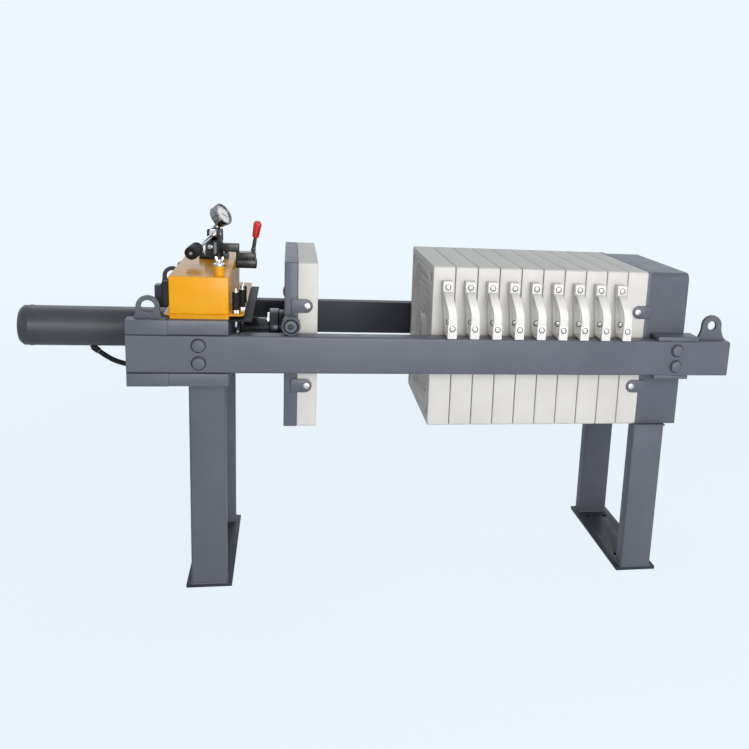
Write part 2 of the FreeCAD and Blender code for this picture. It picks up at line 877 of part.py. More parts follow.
# Hose couplings stand on the lip beside the tank; their stubs come out under the panel.
stub_low = seat_top - cell["panelThick"] - cell["stubHigh"]
spots = [(tank_right + cell[f"{which}CouplingOut"], cell[f"{which}CouplingAlong"] - half_tank)
         for which in ("near", "middle", "far")]
couplings = []
stubs = []
for number, spot in enumerate(spots):
    couplings.append(rod(f"coupling_{number}", "z", cell["couplingRadius"], spot + (lip_top,),
                         cell["couplingHigh"]))
    stubs.append(rod(f"stub_{number}", "z", cell["stubRadius"], spot + (stub_low,), cell["stubHigh"]))
node(group("couplings", couplings), "oil_couplings")

pump_x = tank_right - cell["pumpInset"]
pump_y = cell["pumpAcross"]
pump_turn = Rotation(Vector(0, 0, 1), -SIZES["pumpTurn"])
fork_slot = cell["leverHub"] + cell["hubClear"]
pivot_rise = cell["pumpHigh"] + fork_slot
fork_high = pivot_rise + cell["forkAbove"]


def make_pump():
    # Drawn about its own upright axis, then turned towards the operator. The fork on top
    # holds the lever, and an arm carries the oil to the valve.
    pump = body("pump")
    levels = [as_size(0), cell["pumpFootHigh"], cell["pumpHigh"], fork_high]
    half_fork = cell["forkWide"] / 2
    cheek = cell["hubWide"] / 2 + cell["runGap"]
    half_deep = cell["pumpDeep"] / 2
    plans = [
        framed(cell["pumpFootWide"] / 2, cell["pumpFootDeep"] / 2, as_size(0)),
        framed(cell["pumpWide"] / 2, half_deep, as_size(0)),
        [(-half_fork, -cell["forkFront"]), (-cheek, -cell["forkFront"]), (-cheek, fork_slot),
         (cheek, fork_slot), (cheek, -cell["forkFront"]), (half_fork, -cell["forkFront"]),
         (half_fork, half_deep), (-half_fork, half_deep)]]
    for index, plan in enumerate(plans):
        sketch = sketch_on(pump, "XY_Plane", f"pump_plan_{index}", levels[index])
        outline(sketch, plan)
        pad(pump, sketch, levels[index + 1] - levels[index])
    pump.Placement = Placement(Vector(), pump_turn)
    place(pump, pump_x, pump_y, tank_top)
    arm = box("pump_arm", (pump_x, tank_right + cell["armLap"]),
              (pump_y - cell["armWide"] / 2, pump_y + cell["armWide"] / 2),
              (valve_top, valve_top + cell["armHigh"]))
    return fuse("pump_whole", [pump, arm])


node(make_pump(), "pump_body")


def make_lever():
    # A tube with a fat rubber grip; its hub turns between the fork's cheeks.
    lever = body("lever")
    hub = sketch_on(lever, "YZ_Plane", "lever_hub")
    ring(hub, 0, 0, cell["leverHub"])
    pad(lever, hub, cell["hubWide"], middle=True)
    tube_plan = sketch_on(lever, "XZ_Plane", "lever_tube")
    ring(tube_plan, 0, 0, cell["leverRadius"])
    pad(lever, tube_plan, cell["leverReach"])
    grip = sketch_on(lever, "XZ_Plane", "lever_grip", cell["leverReach"] - cell["gripLong"])
    ring(grip, 0, 0, cell["gripRadius"])
    pad(lever, grip, cell["gripLong"])
    drop = Rotation(Vector(1, 0, 0), SIZES["leverDrop"])
    lever.Placement = Placement(Vector(), pump_turn * drop)
    place(lever, pump_x, pump_y, tank_top + pivot_rise)
    return lever


node(make_lever(), "pump_lever")


def make_gauge():
    # A round dial case on a stem behind the fork, its face tilted up towards the operator.
    pump_angle = math.radians(SIZES["pumpTurn"])
    post = (fork_slot + cell["pumpDeep"] / 2) / 2
    gauge_x = pump_x + post * math.sin(pump_angle)
    gauge_y = pump_y + post * math.cos(pump_angle)
    tilt = math.radians(SIZES["gaugeTilt"])
    turn = math.radians(SIZES["gaugeTurn"])
    facing = Vector(math.cos(tilt) * math.cos(turn), -math.cos(tilt) * math.sin(turn), math.sin(tilt))
    stem_long = cell["gaugeClear"] + cell["gaugeRadius"] * math.cos(tilt)
    stem = rod("gauge_stem", "z", cell["gaugeStem"], (gauge_x, gauge_y, tank_top + fork_high), stem_long)
    case = document.addObject("Part::Cylinder", "gauge_case")
    bind(case, "Radius", cell["gaugeRadius"])
    bind(case, "Height", cell["gaugeThick"])
    case.Placement = Placement(Vector(), Rotation(Vector(0, 0, 1), facing))
    place(case, gauge_x, gauge_y, tank_top + fork_high + stem_long)
    return fuse("gauge", [stem, case])


node(make_gauge(), "pressure_gauge")

node(box("valve", (tank_right, tank_right + cell["valveWide"]),
         (pump_y - cell["valveDeep"] / 2, pump_y + cell["valveDeep"] / 2), (valve_low, valve_top)),
     "valve_block")


def make_valve_lever():
    # A round hub lying on the block, with a stem and a tapered knob turned about its own axis.
    lever = body("valve_handle")
    hub = sketch_on(lever, "XZ_Plane", "valve_hub")
    ring(hub, 0, 0, cell["valveHub"])
    pad(lever, hub, cell["valveHub"] * 2, middle=True)
    knob_top = cell["stemLong"] + cell["knobHigh"]
    profile = sketch_on(lever, "XZ_Plane", "valve_knob")
    outline(profile, [(0, 0), (cell["stemRadius"], 0), (cell["stemRadius"], cell["stemLong"]),
                      (cell["knobFoot"], cell["stemLong"]),
                      (cell["knobRadius"], knob_top - cell["knobCrown"]),
                      (cell["knobRadius"] - cell["knobCrown"] / 2, knob_top), (0, knob_top)])
    stem = lever.newObject("PartDesign::Revolution", "valve_knob_turn")
    stem.Profile = profile
    stem.ReferenceAxis = (profile, ["V_Axis"])
    stem.Angle = 360
    lever.Placement = Placement(Vector(), Rotation(Vector(0, 1, 0), SIZES["valveLean"]))
    place(lever, tank_right + cell["valveWide"] - cell["valveHubInset"], pump_y,
          valve_top + cell["valveHub"] + cell["runGap"])
    return lever


node(make_valve_lever(), "valve_lever")


def tube(label, radius, route):
    # An eight-sided tube along straight runs joined by arcs as large as the runs allow.
    points = [Vector(*(as_size(part).value for part in point)) for point in route]
    edges = []
    start = points[0]
    for before, here, after in zip(points, points[1:], points[2:]):
        back = (before - here).normalize()
        ahead = (after - here).normalize()
        turn = math.pi - back.getAngle(ahead)
        reach = 0.45 * min((before - here).Length, (after - here).Length)
        bend = reach / math.tan(turn / 2)
        enter = here + back * reach
        leave = here + ahead * reach
        inward = (back + ahead).normalize()
        top = here + inward * (math.hypot(bend, reach) - bend)
        edges.append(Part.LineSegment(start, enter).toShape())
        edges.append(Part.Arc(enter, top, leave).toShape())
        print(f"{label}: bend radius {bend:.0f}")
        start = leave
    edges.append(Part.LineSegment(start, points[-1]).toShape())
    path = Part.Wire(edges)
    lead = (points[1] - points[0]).normalize()
    across = lead.cross(Vector(0, 1, 0)).normalize()
    side = lead.cross(across)
    corners = []
    for step in range(9):
        angle = math.radians(45 * step)
        spoke = across * math.cos(angle) + side * math.sin(angle)
        corners.append(points[0] + spoke * radius.value)
    shape = path.makePipeShell([Part.makePolygon(corners)], True, False)
    section = 2 * math.sqrt(2) * radius.value ** 2
    print(f"{label}: volume is {shape.Volume / (section * path.Length):.3f} of section times length")
    item = document.addObject("Part::Feature", label)
    item.Shape = shape
    return node(item, label)


# The rear port leaves the barrel's underside on a slant; the gland's port faces the near beam.
# Both are trimmed to the round piece that they are welded to.
dip = math.radians(SIZES["portDip"])


def along_port(distance):
    # A point on the rear port's middle line, so far from where it leaves the barrel.
    return (barrel_end + cell["portShift"] + distance * math.cos(dip), as_size(0),
            centre_height - cell["barrelRadius"] - distance * math.sin(dip))


rear_port = document.addObject("Part::Cylinder", "rear_port")
bind(rear_port, "Radius", cell["portRadius"])
bind(rear_port, "Height", cell["portRoot"] + cell["portLong"])
rear_port.Placement = Placement(Vector(), Rotation(Vector(0, 0, 1), Vector(math.cos(dip), 0, -math.sin(dip))))
place(rear_port, *along_port(-cell["portRoot"]))
barrel_skin = rod("barrel_skin", "x", cell["barrelRadius"] + cell["runGap"],
                  (barrel_end, 0, centre_height), barrel_long)
gland_port_x = seat_front + cell["glandThick"] / 2
gland_port_y = -cell["glandRadius"] - cell["portRadius"]
gland_port = rod("gland_port", "y", cell["portRadius"], (gland_port_x, gland_port_y, centre_height),
                 cell["portRadius"] + cell["portRoot"])
gland_skin = rod("gland_skin", "x", cell["glandRadius"] + cell["runGap"],
                 (seat_front, 0, centre_height), cell["glandThick"])
ports = [cut("rear_port_cut", rear_port, barrel_skin), cut("gland_port_cut", gland_port, gland_skin)]
node(group("fittings", stubs + ports), "hose_fittings")

hose_start = along_port(cell["portLong"] + cell["runGap"])
hose_x, hose_z = hose_start[0], hose_start[2]
under = seat_bottom
hose_end = spots[1]
stub_end = stub_low - cell["runGap"]
tube("return_hose", cell["hoseRadius"], [
    hose_start, along_port(cell["portLong"] + 35), (hose_x + 70, -4, under - 12),
    (seat_back + 15, -8, under - 21), (seat_back + 95, -12, under - 25),
    (seat_front - 72, -15, under - 27), (seat_front + 10, -22, under - 22),
    (seat_front + 50, -48, under + 12), (seat_front + 56, -95, under + 48),
    (seat_front + 40, -158, under + 62), (hose_end[0], hose_end[1], stub_low - 35),
    (hose_end[0], hose_end[1], stub_end)])
pipe_end = spots[2]
pipe_start = gland_port_y - cell["runGap"]
tube("gland_pipe", cell["pipeRadius"], [
    (pipe_end[0], pipe_end[1], stub_end), (pipe_end[0], pipe_end[1], stub_low - 32),
    (gland_port_x, gland_port_y - 24, centre_height), (gland_port_x, pipe_start, centre_height)])

document.recompute()
for item in document.Objects:
    if "Invalid" in item.State or "Error" in item.State:
        raise RuntimeError(f"{item.Name} failed: {item.State}")
for item in nodes:
    shape = item.Shape
    if shape.isNull() or not shape.isValid() or not shape.Solids:
        raise RuntimeError(f"{item.Label} has no valid solid")
    shape.exportStep(f"parts/{item.Label}.step")
    print(f"{item.Label:24s} solids {len(shape.Solids)} volume {shape.Volume / 1000:10.1f} cm3")
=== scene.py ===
# Looks for a hand-pumped plate filter press: satin grey paint, moulded white plates, rubber and bright metal.
# Metres; +X runs along the beams to the fixed end, +Y to the far beam, +Z up.
import math

import bmesh
import bpy
import numpy as np
from mathutils import Matrix, Vector


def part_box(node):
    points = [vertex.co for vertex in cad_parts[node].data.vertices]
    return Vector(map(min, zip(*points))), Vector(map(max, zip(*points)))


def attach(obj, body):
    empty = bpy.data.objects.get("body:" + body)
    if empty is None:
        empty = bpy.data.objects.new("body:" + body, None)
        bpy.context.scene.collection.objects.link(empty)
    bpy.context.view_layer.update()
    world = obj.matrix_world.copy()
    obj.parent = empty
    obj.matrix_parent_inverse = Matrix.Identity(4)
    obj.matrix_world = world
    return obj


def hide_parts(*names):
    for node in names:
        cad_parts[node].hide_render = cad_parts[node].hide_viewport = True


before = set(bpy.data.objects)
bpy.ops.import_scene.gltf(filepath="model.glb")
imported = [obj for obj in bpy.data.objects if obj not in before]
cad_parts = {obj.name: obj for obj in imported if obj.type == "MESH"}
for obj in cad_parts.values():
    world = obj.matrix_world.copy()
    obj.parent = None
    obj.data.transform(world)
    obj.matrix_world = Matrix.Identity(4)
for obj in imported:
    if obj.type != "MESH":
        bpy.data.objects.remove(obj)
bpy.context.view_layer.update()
print("frame loaded:", len(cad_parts), "nodes")


def span(node):
    low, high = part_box(node)
    return np.array(low), np.array(high)


# ---------- view, floor and light ----------

viewpoint = {
    "place": (-1.0360, -2.7072, 1.2509), "heading": 0.2138, "dip": 0.228, "roll": 0.0578,
    "lens": 44.88, "shift": (-0.1497, -0.025),
}


def makeCamera():
    # forward from heading and dip, then right and up turned about it by the roll
    heading, dip, roll = viewpoint["heading"], viewpoint["dip"], viewpoint["roll"]
    forward = Vector((math.sin(heading) * math.cos(dip), math.cos(heading) * math.cos(dip), -math.sin(dip)))
    level = Vector((math.cos(heading), -math.sin(heading), 0))
    lift = level.cross(forward)
    right = level * math.cos(roll) + lift * math.sin(roll)
    up = lift * math.cos(roll) - level * math.sin(roll)
    data = bpy.data.cameras.new("pressCamera")
    data.lens = viewpoint["lens"]
    data.sensor_width = 36
    data.shift_x, data.shift_y = viewpoint["shift"]
    camera = bpy.data.objects.new("pressCamera", data)
    turn = Matrix((right, up, -forward)).transposed().to_4x4()
    camera.matrix_world = Matrix.Translation(viewpoint["place"]) @ turn
    bpy.context.scene.collection.objects.link(camera)
    bpy.context.scene.camera = camera


studio = {
    "air": (0.86, 0.94, 1.0), "airStrength": 0.99, "ambient": 0.35,
    "floor": (0.87, 0.93, 1.0), "floorGlow": 0.90, "nearFloor": 1.6, "farFloor": 5.5,
    "lamps": [("keyLamp", (0.1, -4.6, 1.7), 2.6, 176), ("sideLamp", (3.6, -1.4, 2.6), 2.2, 26),
              ("backLamp", (-1.6, 2.6, 3.6), 2.4, 18)],
}


def seenRay(tree):
    # true for rays from the camera, mirrors and glass
    path = tree.nodes.new("ShaderNodeLightPath")
    either = tree.nodes.new("ShaderNodeMath")
    either.operation = "MAXIMUM"
    tree.links.new(path.outputs["Is Camera Ray"], either.inputs[0])
    tree.links.new(path.outputs["Is Glossy Ray"], either.inputs[1])
    third = tree.nodes.new("ShaderNodeMath")
    third.operation = "MAXIMUM"
    tree.links.new(either.outputs[0], third.inputs[0])
    tree.links.new(path.outputs["Is Transmission Ray"], third.inputs[1])
    return third.outputs[0], path.outputs["Is Camera Ray"]


def makeStudio():
    world = bpy.data.worlds.new("studioAir")
    world.use_nodes = True
    tree = world.node_tree
    tree.nodes.clear()
    out = tree.nodes.new("ShaderNodeOutputWorld")
    mix = tree.nodes.new("ShaderNodeMixShader")
    soft = tree.nodes.new("ShaderNodeBackground")
    soft.inputs["Color"].default_value = (0.95, 0.97, 1.0, 1)
    soft.inputs["Strength"].default_value = studio["ambient"]
    seen = tree.nodes.new("ShaderNodeBackground")
    seen.inputs["Color"].default_value = (*studio["air"], 1)
    seen.inputs["Strength"].default_value = studio["airStrength"]
    anySeen, _ = seenRay(tree)
    tree.links.new(anySeen, mix.inputs[0])
    tree.links.new(soft.outputs[0], mix.inputs[1])
    tree.links.new(seen.outputs[0], mix.inputs[2])
    tree.links.new(mix.outputs[0], out.inputs[0])
    bpy.context.scene.world = world
    bpy.context.scene.view_settings.view_transform = "Standard"

    floorMesh = bpy.data.meshes.new("studioFloor")
    side = 14
    floorMesh.from_pydata([(-side, -side, 0), (side, -side, 0), (side, side, 0), (-side, side, 0)], [],
                          [(0, 1, 2, 3)])
    floor = bpy.data.objects.new("studioFloor", floorMesh)
    bpy.context.scene.collection.objects.link(floor)
    paper = bpy.data.materials.new("palePaper")
    paper.use_nodes = True
    tree = paper.node_tree
    tree.nodes.clear()
    out = tree.nodes.new("ShaderNodeOutputMaterial")
    mix = tree.nodes.new("ShaderNodeMixShader")
    matt = tree.nodes.new("ShaderNodeBsdfDiffuse")
    matt.inputs["Color"].default_value = (*studio["floor"], 1)
    glow = tree.nodes.new("ShaderNodeEmission")
    glow.inputs["Color"].default_value = (*studio["air"], 1)
    glow.inputs["Strength"].default_value = studio["airStrength"]
    _, cameraOnly = seenRay(tree)
    # the floor fades into the air with its distance from the press
    reach = tree.nodes.new("ShaderNodeVectorMath")
    reach.operation = "LENGTH"
    tree.links.new(tree.nodes.new("ShaderNodeTexCoord").outputs["Object"], reach.inputs[0])
    fade = tree.nodes.new("ShaderNodeMapRange")
    fade.inputs["From Min"].default_value = studio["nearFloor"]
    fade.inputs["From Max"].default_value = studio["farFloor"]
    fade.inputs["To Min"].default_value = studio["floorGlow"]
    fade.inputs["To Max"].default_value = 1
    tree.links.new(reach.outputs["Value"], fade.inputs["Value"])
    share = tree.nodes.new("ShaderNodeMath")
    share.operation = "MULTIPLY"
    tree.links.new(cameraOnly, share.inputs[0])
    tree.links.new(fade.outputs["Result"], share.inputs[1])
    tree.links.new(share.outputs[0], mix.inputs[0])
    tree.links.new(matt.outputs[0], mix.inputs[1])
    tree.links.new(glow.outputs[0], mix.inputs[2])
    tree.links.new(mix.outputs[0], out.inputs[0])
    floorMesh.materials.append(paper)

    for name, place, size, power in studio["lamps"]:
        data = bpy.data.lights.new(name, "AREA")
        data.shape = "SQUARE"
        data.size = size
        data.energy = power
        lamp = bpy.data.objects.new(name, data)
        lamp.location = place
        lamp.rotation_euler = (Vector((-0.75, 0, 0.6)) - Vector(place)).to_track_quat("-Z", "Y").to_euler()
        bpy.context.scene.collection.objects.link(lamp)


makeCamera()
makeStudio()
print("camera, floor and lamps made")


# ---------- finishes ----------

finishes = {
    "greyPaint": {"tint": (0.104, 0.110, 0.134), "shade": (0.090, 0.096, 0.118), "patch": 5, "rough": 0.4,
                  "spread": 0.07, "grain": 900, "depth": 0.00006, "coat": 0.04, "shine": 0.3},
    # the darker copy of the grey paint below is painted shade, for the far beam and the stand feet, which lie
    # in shadow
    "paintedShadeGrey": {"tint": (0.034, 0.037, 0.049), "shade": (0.024, 0.027, 0.036), "patch": 4, "rough": 0.44,
                    "spread": 0.07, "grain": 900, "depth": 0.00006, "coat": 0.03, "shine": 0.2},
    "whitePlate": {"tint": (0.585, 0.563, 0.532), "shade": (0.545, 0.522, 0.488), "patch": 7, "rough": 0.46,
                   "spread": 0.06, "grain": 420, "depth": 0.00010, "coat": 0.06},
    "handlePlastic": {"tint": (0.680, 0.662, 0.628), "shade": (0.640, 0.620, 0.582), "patch": 30,
                      "rough": 0.38,
                      "spread": 0.05, "grain": 700, "depth": 0.00008, "coat": 0.10},
    "tankYellow": {"tint": (0.760, 0.345, 0.003), "shade": (0.720, 0.315, 0.003), "patch": 9, "rough": 0.26,
                   "spread": 0.04, "grain": 260, "depth": 0.00005, "coat": 0.1, "shine": 0.22},
    "blackRubber": {"tint": (0.008, 0.008, 0.009), "shade": (0.013, 0.013, 0.014), "patch": 40, "rough": 0.58,
                    "spread": 0.10, "grain": 1400, "depth": 0.00012, "coat": 0.0, "shine": 0.22},
    "blackEnamel": {"tint": (0.005, 0.005, 0.006), "shade": (0.009, 0.009, 0.010), "patch": 18, "rough": 0.26,
                    "spread": 0.06, "grain": 500, "depth": 0.00005, "coat": 0.12, "shine": 0.35},
    "darkBarrel": {"tint": (0.052, 0.055, 0.064), "shade": (0.040, 0.043, 0.050), "patch": 6, "rough": 0.38,
                   "spread": 0.05, "grain": 300, "depth": 0.00004, "coat": 0.05, "shine": 0.4},
    "brightSteel": {"tint": (0.70, 0.70, 0.71), "shade": (0.56, 0.56, 0.58), "patch": 60, "rough": 0.20,
                    "spread": 0.07, "grain": 1500, "depth": 0.00003, "coat": 0.0, "metal": 1},
    "darkChrome": {"tint": (0.30, 0.30, 0.31), "shade": (0.16, 0.16, 0.17), "patch": 45, "rough": 0.14,
                   "spread": 0.05, "grain": 1500, "depth": 0.00003, "coat": 0.0, "metal": 1},
    "zincScrew": {"tint": (0.74, 0.74, 0.73), "shade": (0.52, 0.52, 0.52), "patch": 160, "rough": 0.33,
                  "spread": 0.10, "grain": 2200, "depth": 0.00004, "coat": 0.0, "metal": 1},
    "oiledSteel": {"tint": (0.040, 0.042, 0.047), "shade": (0.022, 0.023, 0.027), "patch": 12, "rough": 0.24,
                   "spread": 0.08, "grain": 800, "depth": 0.00003, "coat": 0.2, "metal": 0.6},
    "redKnob": {"tint": (0.62, 0.012, 0.018), "shade": (0.48, 0.008, 0.012), "patch": 50, "rough": 0.22,
                "spread": 0.05, "grain": 900, "depth": 0.00003, "coat": 0.4},
    "paleDial": {"tint": (0.86, 0.86, 0.84), "shade": (0.80, 0.80, 0.78), "patch": 80, "rough": 0.35,
                 "spread": 0.05, "grain": 1200, "depth": 0.00001, "coat": 0.2},
    "clothSeam": {"tint": (0.40, 0.385, 0.35), "shade": (0.30, 0.29, 0.26), "patch": 60, "rough": 0.85,
                  "spread": 0.08, "grain": 1600, "depth": 0.0003, "coat": 0.0},
}


def makeFinish(name, facts):
    # large soft patches between two tints, uneven gloss, and a fine grain as bump
    material = bpy.data.materials.new(name)
    material.use_nodes = True
    tree = material.node_tree
    shader = tree.nodes["Principled BSDF"]
    place = tree.nodes.new("ShaderNodeTexCoord").outputs["Object"]

    def noise(scale, detail, roughness=0.5):
        texture = tree.nodes.new("ShaderNodeTexNoise")
        texture.inputs["Scale"].default_value = scale
        texture.inputs["Detail"].default_value = detail
        texture.inputs["Roughness"].default_value = roughness
        tree.links.new(place, texture.inputs["Vector"])
        return texture.outputs["Fac"]

    ramp = tree.nodes.new("ShaderNodeValToRGB")
    ramp.color_ramp.elements[0].position = 0.36
    ramp.color_ramp.elements[1].position = 0.62
    ramp.color_ramp.elements[0].color = (*facts["shade"], 1)
    ramp.color_ramp.elements[1].color = (*facts["tint"], 1)
    tree.links.new(noise(facts["patch"], 5, 0.6), ramp.inputs["Fac"])
    tree.links.new(ramp.outputs["Color"], shader.inputs["Base Color"])
    gloss = tree.nodes.new("ShaderNodeMapRange")
    gloss.inputs["From Min"].default_value = 0.3
    gloss.inputs["From Max"].default_value = 0.7
    gloss.inputs["To Min"].default_value = facts["rough"] - facts["spread"]
    gloss.inputs["To Max"].default_value = facts["rough"] + facts["spread"]
    tree.links.new(noise(facts["patch"] * 4, 6, 0.65), gloss.inputs["Value"])
    tree.links.new(gloss.outputs["Result"], shader.inputs["Roughness"])
    bump = tree.nodes.new("ShaderNodeBump")
    bump.inputs["Strength"].default_value = 0.6
    bump.inputs["Distance"].default_value = facts["depth"] * 4
    tree.links.new(noise(facts["grain"], 3), bump.inputs["Height"])
    tree.links.new(bump.outputs["Normal"], shader.inputs["Normal"])
    shader.inputs["Metallic"].default_value = facts.get("metal", 0)
    shader.inputs["Coat Weight"].default_value = facts["coat"]
    shader.inputs["Coat Roughness"].default_value = 0.12
    shader.inputs["Specular IOR Level"].default_value = facts.get("shine", 0.5)
    return material


finish = {name: makeFinish(name, facts) for name, facts in finishes.items()}
print("finishes mixed:", len(finish))


# ---------- shapes ----------

def addPiece(name, mesh, material, body, replaces=(), sharp=38):
    # doubles merged, faces turned outwards, smooth except across sharp edges
    work = bmesh.new()
    work.from_mesh(mesh)
    bmesh.ops.remove_doubles(work, verts=work.verts, dist=1e-6)
    bmesh.ops.dissolve_degenerate(work, edges=work.edges, dist=1e-7)
    bmesh.ops.recalc_face_normals(work, faces=work.faces)
    work.to_mesh(mesh)
    work.free()
    mesh.shade_smooth()
    mesh.set_sharp_from_angle(angle=math.radians(sharp))
    mesh.materials.clear()
    mesh.materials.append(finish[material])
    piece = bpy.data.objects.new(name, mesh)
    bpy.context.scene.collection.objects.link(piece)
    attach(piece, body)
    if replaces:
        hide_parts(*replaces)
    return piece


def joined(parts):
    # several (points, faces) pairs as one
    points, faces, start = [], [], 0
    for somePoints, someFaces in parts:
        points.append(somePoints)
        faces += [[index + start for index in face] for face in someFaces]
        start += len(somePoints)
    return np.concatenate(points), faces


def meshOf(name, parts):
    points, faces = joined(parts)
    mesh = bpy.data.meshes.new(name)
    mesh.from_pydata(points.tolist(), [], faces)
    return mesh


def rings(grid, closeEnds=True, around=True):
    # neighbouring rings of a (ring, point, xyz) grid joined by four-sided faces, ends closed by one face each
    count, size = grid.shape[:2]
    index = np.arange(count * size).reshape(count, size)
    if around:
        index = np.concatenate([index, index[:, :1]], axis=1)
    faces = np.stack([index[:-1, :-1], index[:-1, 1:], index[1:, 1:], index[1:, :-1]],
                     axis=-1).reshape(-1, 4).tolist()
    if closeEnds:
        faces.append(index[0, :size].tolist())
        faces.append(index[-1, :size][::-1].tolist())
    return grid.reshape(-1, 3), faces


def roundedLoop(halfWide, halfHigh, radius, steps=6):
    # quarter circles whose centres sit one radius inside the four corners of a rectangle
    angle = np.radians(np.arange(4)[:, None] * 90 + np.linspace(0, 90, steps)[None, :])
    centre = np.array([(1, 1), (-1, 1), (-1, -1), (1, -1)])[:, None, :] * np.array([halfWide - radius,
                                                                                    halfHigh - radius])
    return (centre + radius * np.stack([np.cos(angle), np.sin(angle)], axis=-1)).reshape(-1, 2)


axisOrder = {"x": (1, 2, 0), "y": (0, 2, 1), "z": (0, 1, 2)}


def standing(loops, stations, axis):
    # each flat loop placed at its station along one axis
    grid = np.empty((len(stations), loops.shape[1], 3))
    first, second, third = axisOrder[axis]
    grid[:, :, first] = loops[:, :, 0]
    grid[:, :, second] = loops[:, :, 1]
    grid[:, :, third] = np.asarray(stations)[:, None]
    return grid


def softBlock(low, high, corner, edge, axis="x", steps=6, edgeSteps=4):
    # a rounded rectangle carried along one axis; near each end it shrinks by a quarter circle of the edge
    # radius
    low, high = np.array(low, float), np.array(high, float)
    first, second, third = axisOrder[axis]
    half = (high - low) / 2
    middle = (high + low) / 2
    turn = np.linspace(0, math.pi / 2, edgeSteps)
    inset = edge * (1 - np.sin(turn))
    out = edge * (1 - np.cos(turn))
    insets = np.concatenate([inset, inset[::-1]])
    stations = np.concatenate([low[third] + out, high[third] - out[::-1]])
    loops = np.stack([roundedLoop(half[first] - i, half[second] - i, max(corner - i, 0.0002), steps)
                      for i in insets])
    loops += np.array([middle[first], middle[second]])
    return rings(standing(loops, stations, axis))


def spun(profile, origin, direction, count=48):
    # each (along, out) point of the profile goes once round the axis
    profile = np.asarray(profile, float)
    along = Vector(direction).normalized()
    side = along.orthogonal().normalized()
    other = along.cross(side)
    turn = np.linspace(0, 2 * math.pi, count, endpoint=False)
    spoke = np.cos(turn)[:, None] * np.array(side) + np.sin(turn)[:, None] * np.array(other)
    grid = np.array(origin) + profile[:, 0, None, None] * np.array(along) + profile[:, 1, None,
                                                                                    None] * spoke[None]
    return rings(grid, closeEnds=False)


def eased(corners, radius, steps=5):
    # an open profile whose inner corners become arcs that touch both sides
    corners = np.asarray(corners, float)
    points = [corners[0]]
    for before, here, after in zip(corners[:-2], corners[1:-1], corners[2:]):
        back, ahead = before - here, after - here
        backLong, aheadLong = np.hypot(*back), np.hypot(*ahead)
        back, ahead = back / backLong, ahead / aheadLong
        half = math.acos(np.clip(back @ ahead, -1, 1)) / 2
        if half > 1.55:
            points.append(here)
            continue
        reach = min(radius / math.tan(half), backLong * 0.45, aheadLong * 0.45)
        t = np.linspace(0, 1, steps)[:, None]
        curve = (here + back * reach) * (1 - t) ** 2 + 2 * here * t * (1 - t) + (here
                                                                                 + ahead * reach) * t ** 2
        points.extend(curve)
    points.append(corners[-1])
    return np.array(points)


def hexBolt(origin, direction, flat, high, spin=0.0):
    # a round washer face, then a six-sided head whose top corners are turned off
    along = Vector(direction).normalized()
    side = along.orthogonal().normalized()
    other = along.cross(side)
    angle = np.linspace(0, 2 * math.pi, 48, endpoint=False)
    wrapped = (angle + spin + math.pi / 6) % (math.pi / 3) - math.pi / 6
    hexagon = flat / np.cos(wrapped)
    circle = np.full_like(angle, flat)
    washer = circle * 1.16
    outs = np.stack([washer * 0, washer, washer, hexagon, hexagon, np.minimum(hexagon, flat * 1.06),
                     circle * 0.9, circle * 0])
    ups = np.array([0, 0, 0.12, 0.13, 0.86, 0.93, 1.0, 1.0]) * high
    spoke = np.cos(angle)[:, None] * np.array(side) + np.sin(angle)[:, None] * np.array(other)
    grid = np.array(origin) + ups[:, None, None] * np.array(along) + outs[:, :, None] * spoke[None]
    return rings(grid, closeEnds=False)


def crossScrew(origin, direction, radius, high, spin=0.4):
    # a low dome; two narrow troughs crossing at its middle make the driver slot
    along = Vector(direction).normalized()
    side = along.orthogonal().normalized()
    other = along.cross(side)
    share = np.array([0, 0.12, 0.2, 0.34, 0.5, 0.62, 0.72, 0.86, 0.95, 1.0, 1.0])
    angle = np.linspace(0, 2 * math.pi, 48, endpoint=False)
    x = share[:, None] * np.cos(angle + spin)[None]
    y = share[:, None] * np.sin(angle + spin)[None]
    dome = np.sqrt(np.clip(1 - (share * 0.92) ** 2, 0, 1))[:, None] * np.ones_like(x)
    trough = np.maximum(np.exp(-(x / 0.15) ** 4) * (np.abs(y) < 0.6),
                        np.exp(-(y / 0.15) ** 4) * (np.abs(x) < 0.6))
    lift = high * (dome - 0.55 * trough)
    lift[-1] = 0
    spoke = np.cos(angle)[:, None] * np.array(side) + np.sin(angle)[:, None] * np.array(other)
    grid = np.array(origin) + lift[:, :, None] * np.array(along) + radius * share[:, None, None] * spoke[None]
    points, faces = rings(grid, closeEnds=False)
    last = len(points) - 48
    faces.append(list(range(last, last + 48)))
    return points, faces


def flatPlate(outline, low, high, edge, axis="y"):
    # a closed outline given thickness; its rim is turned over by a quarter circle on both faces
    middle = outline.mean(0)
    reach = np.abs(outline - middle).max()
    turn = np.linspace(0, math.pi / 2, 4)
    inset = edge * (1 - np.sin(turn)) / reach
    out = edge * (1 - np.cos(turn))
    shares = 1 - np.concatenate([inset, inset[::-1]])
    stations = np.concatenate([low + out, high - out[::-1]])
    loops = np.stack([middle + (outline - middle) * share for share in shares])
    return rings(standing(loops, stations, axis))


def softened(node, width, segments=3):
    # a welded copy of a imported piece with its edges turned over
    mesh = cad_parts[node].data.copy()
    work = bmesh.new()
    work.from_mesh(mesh)
    bmesh.ops.remove_doubles(work, verts=work.verts, dist=1e-5)
    bmesh.ops.dissolve_limit(work, angle_limit=math.radians(3), verts=work.verts, edges=work.edges)
    sharp = [edge for edge in work.edges
             if len(edge.link_faces) == 2 and edge.calc_face_angle(0) > math.radians(40)]
    bmesh.ops.bevel(work, geom=sharp, offset=width, segments=segments, affect="EDGES", profile=0.5,
                    clamp_overlap=True)
    work.to_mesh(mesh)
    work.free()
    return mesh


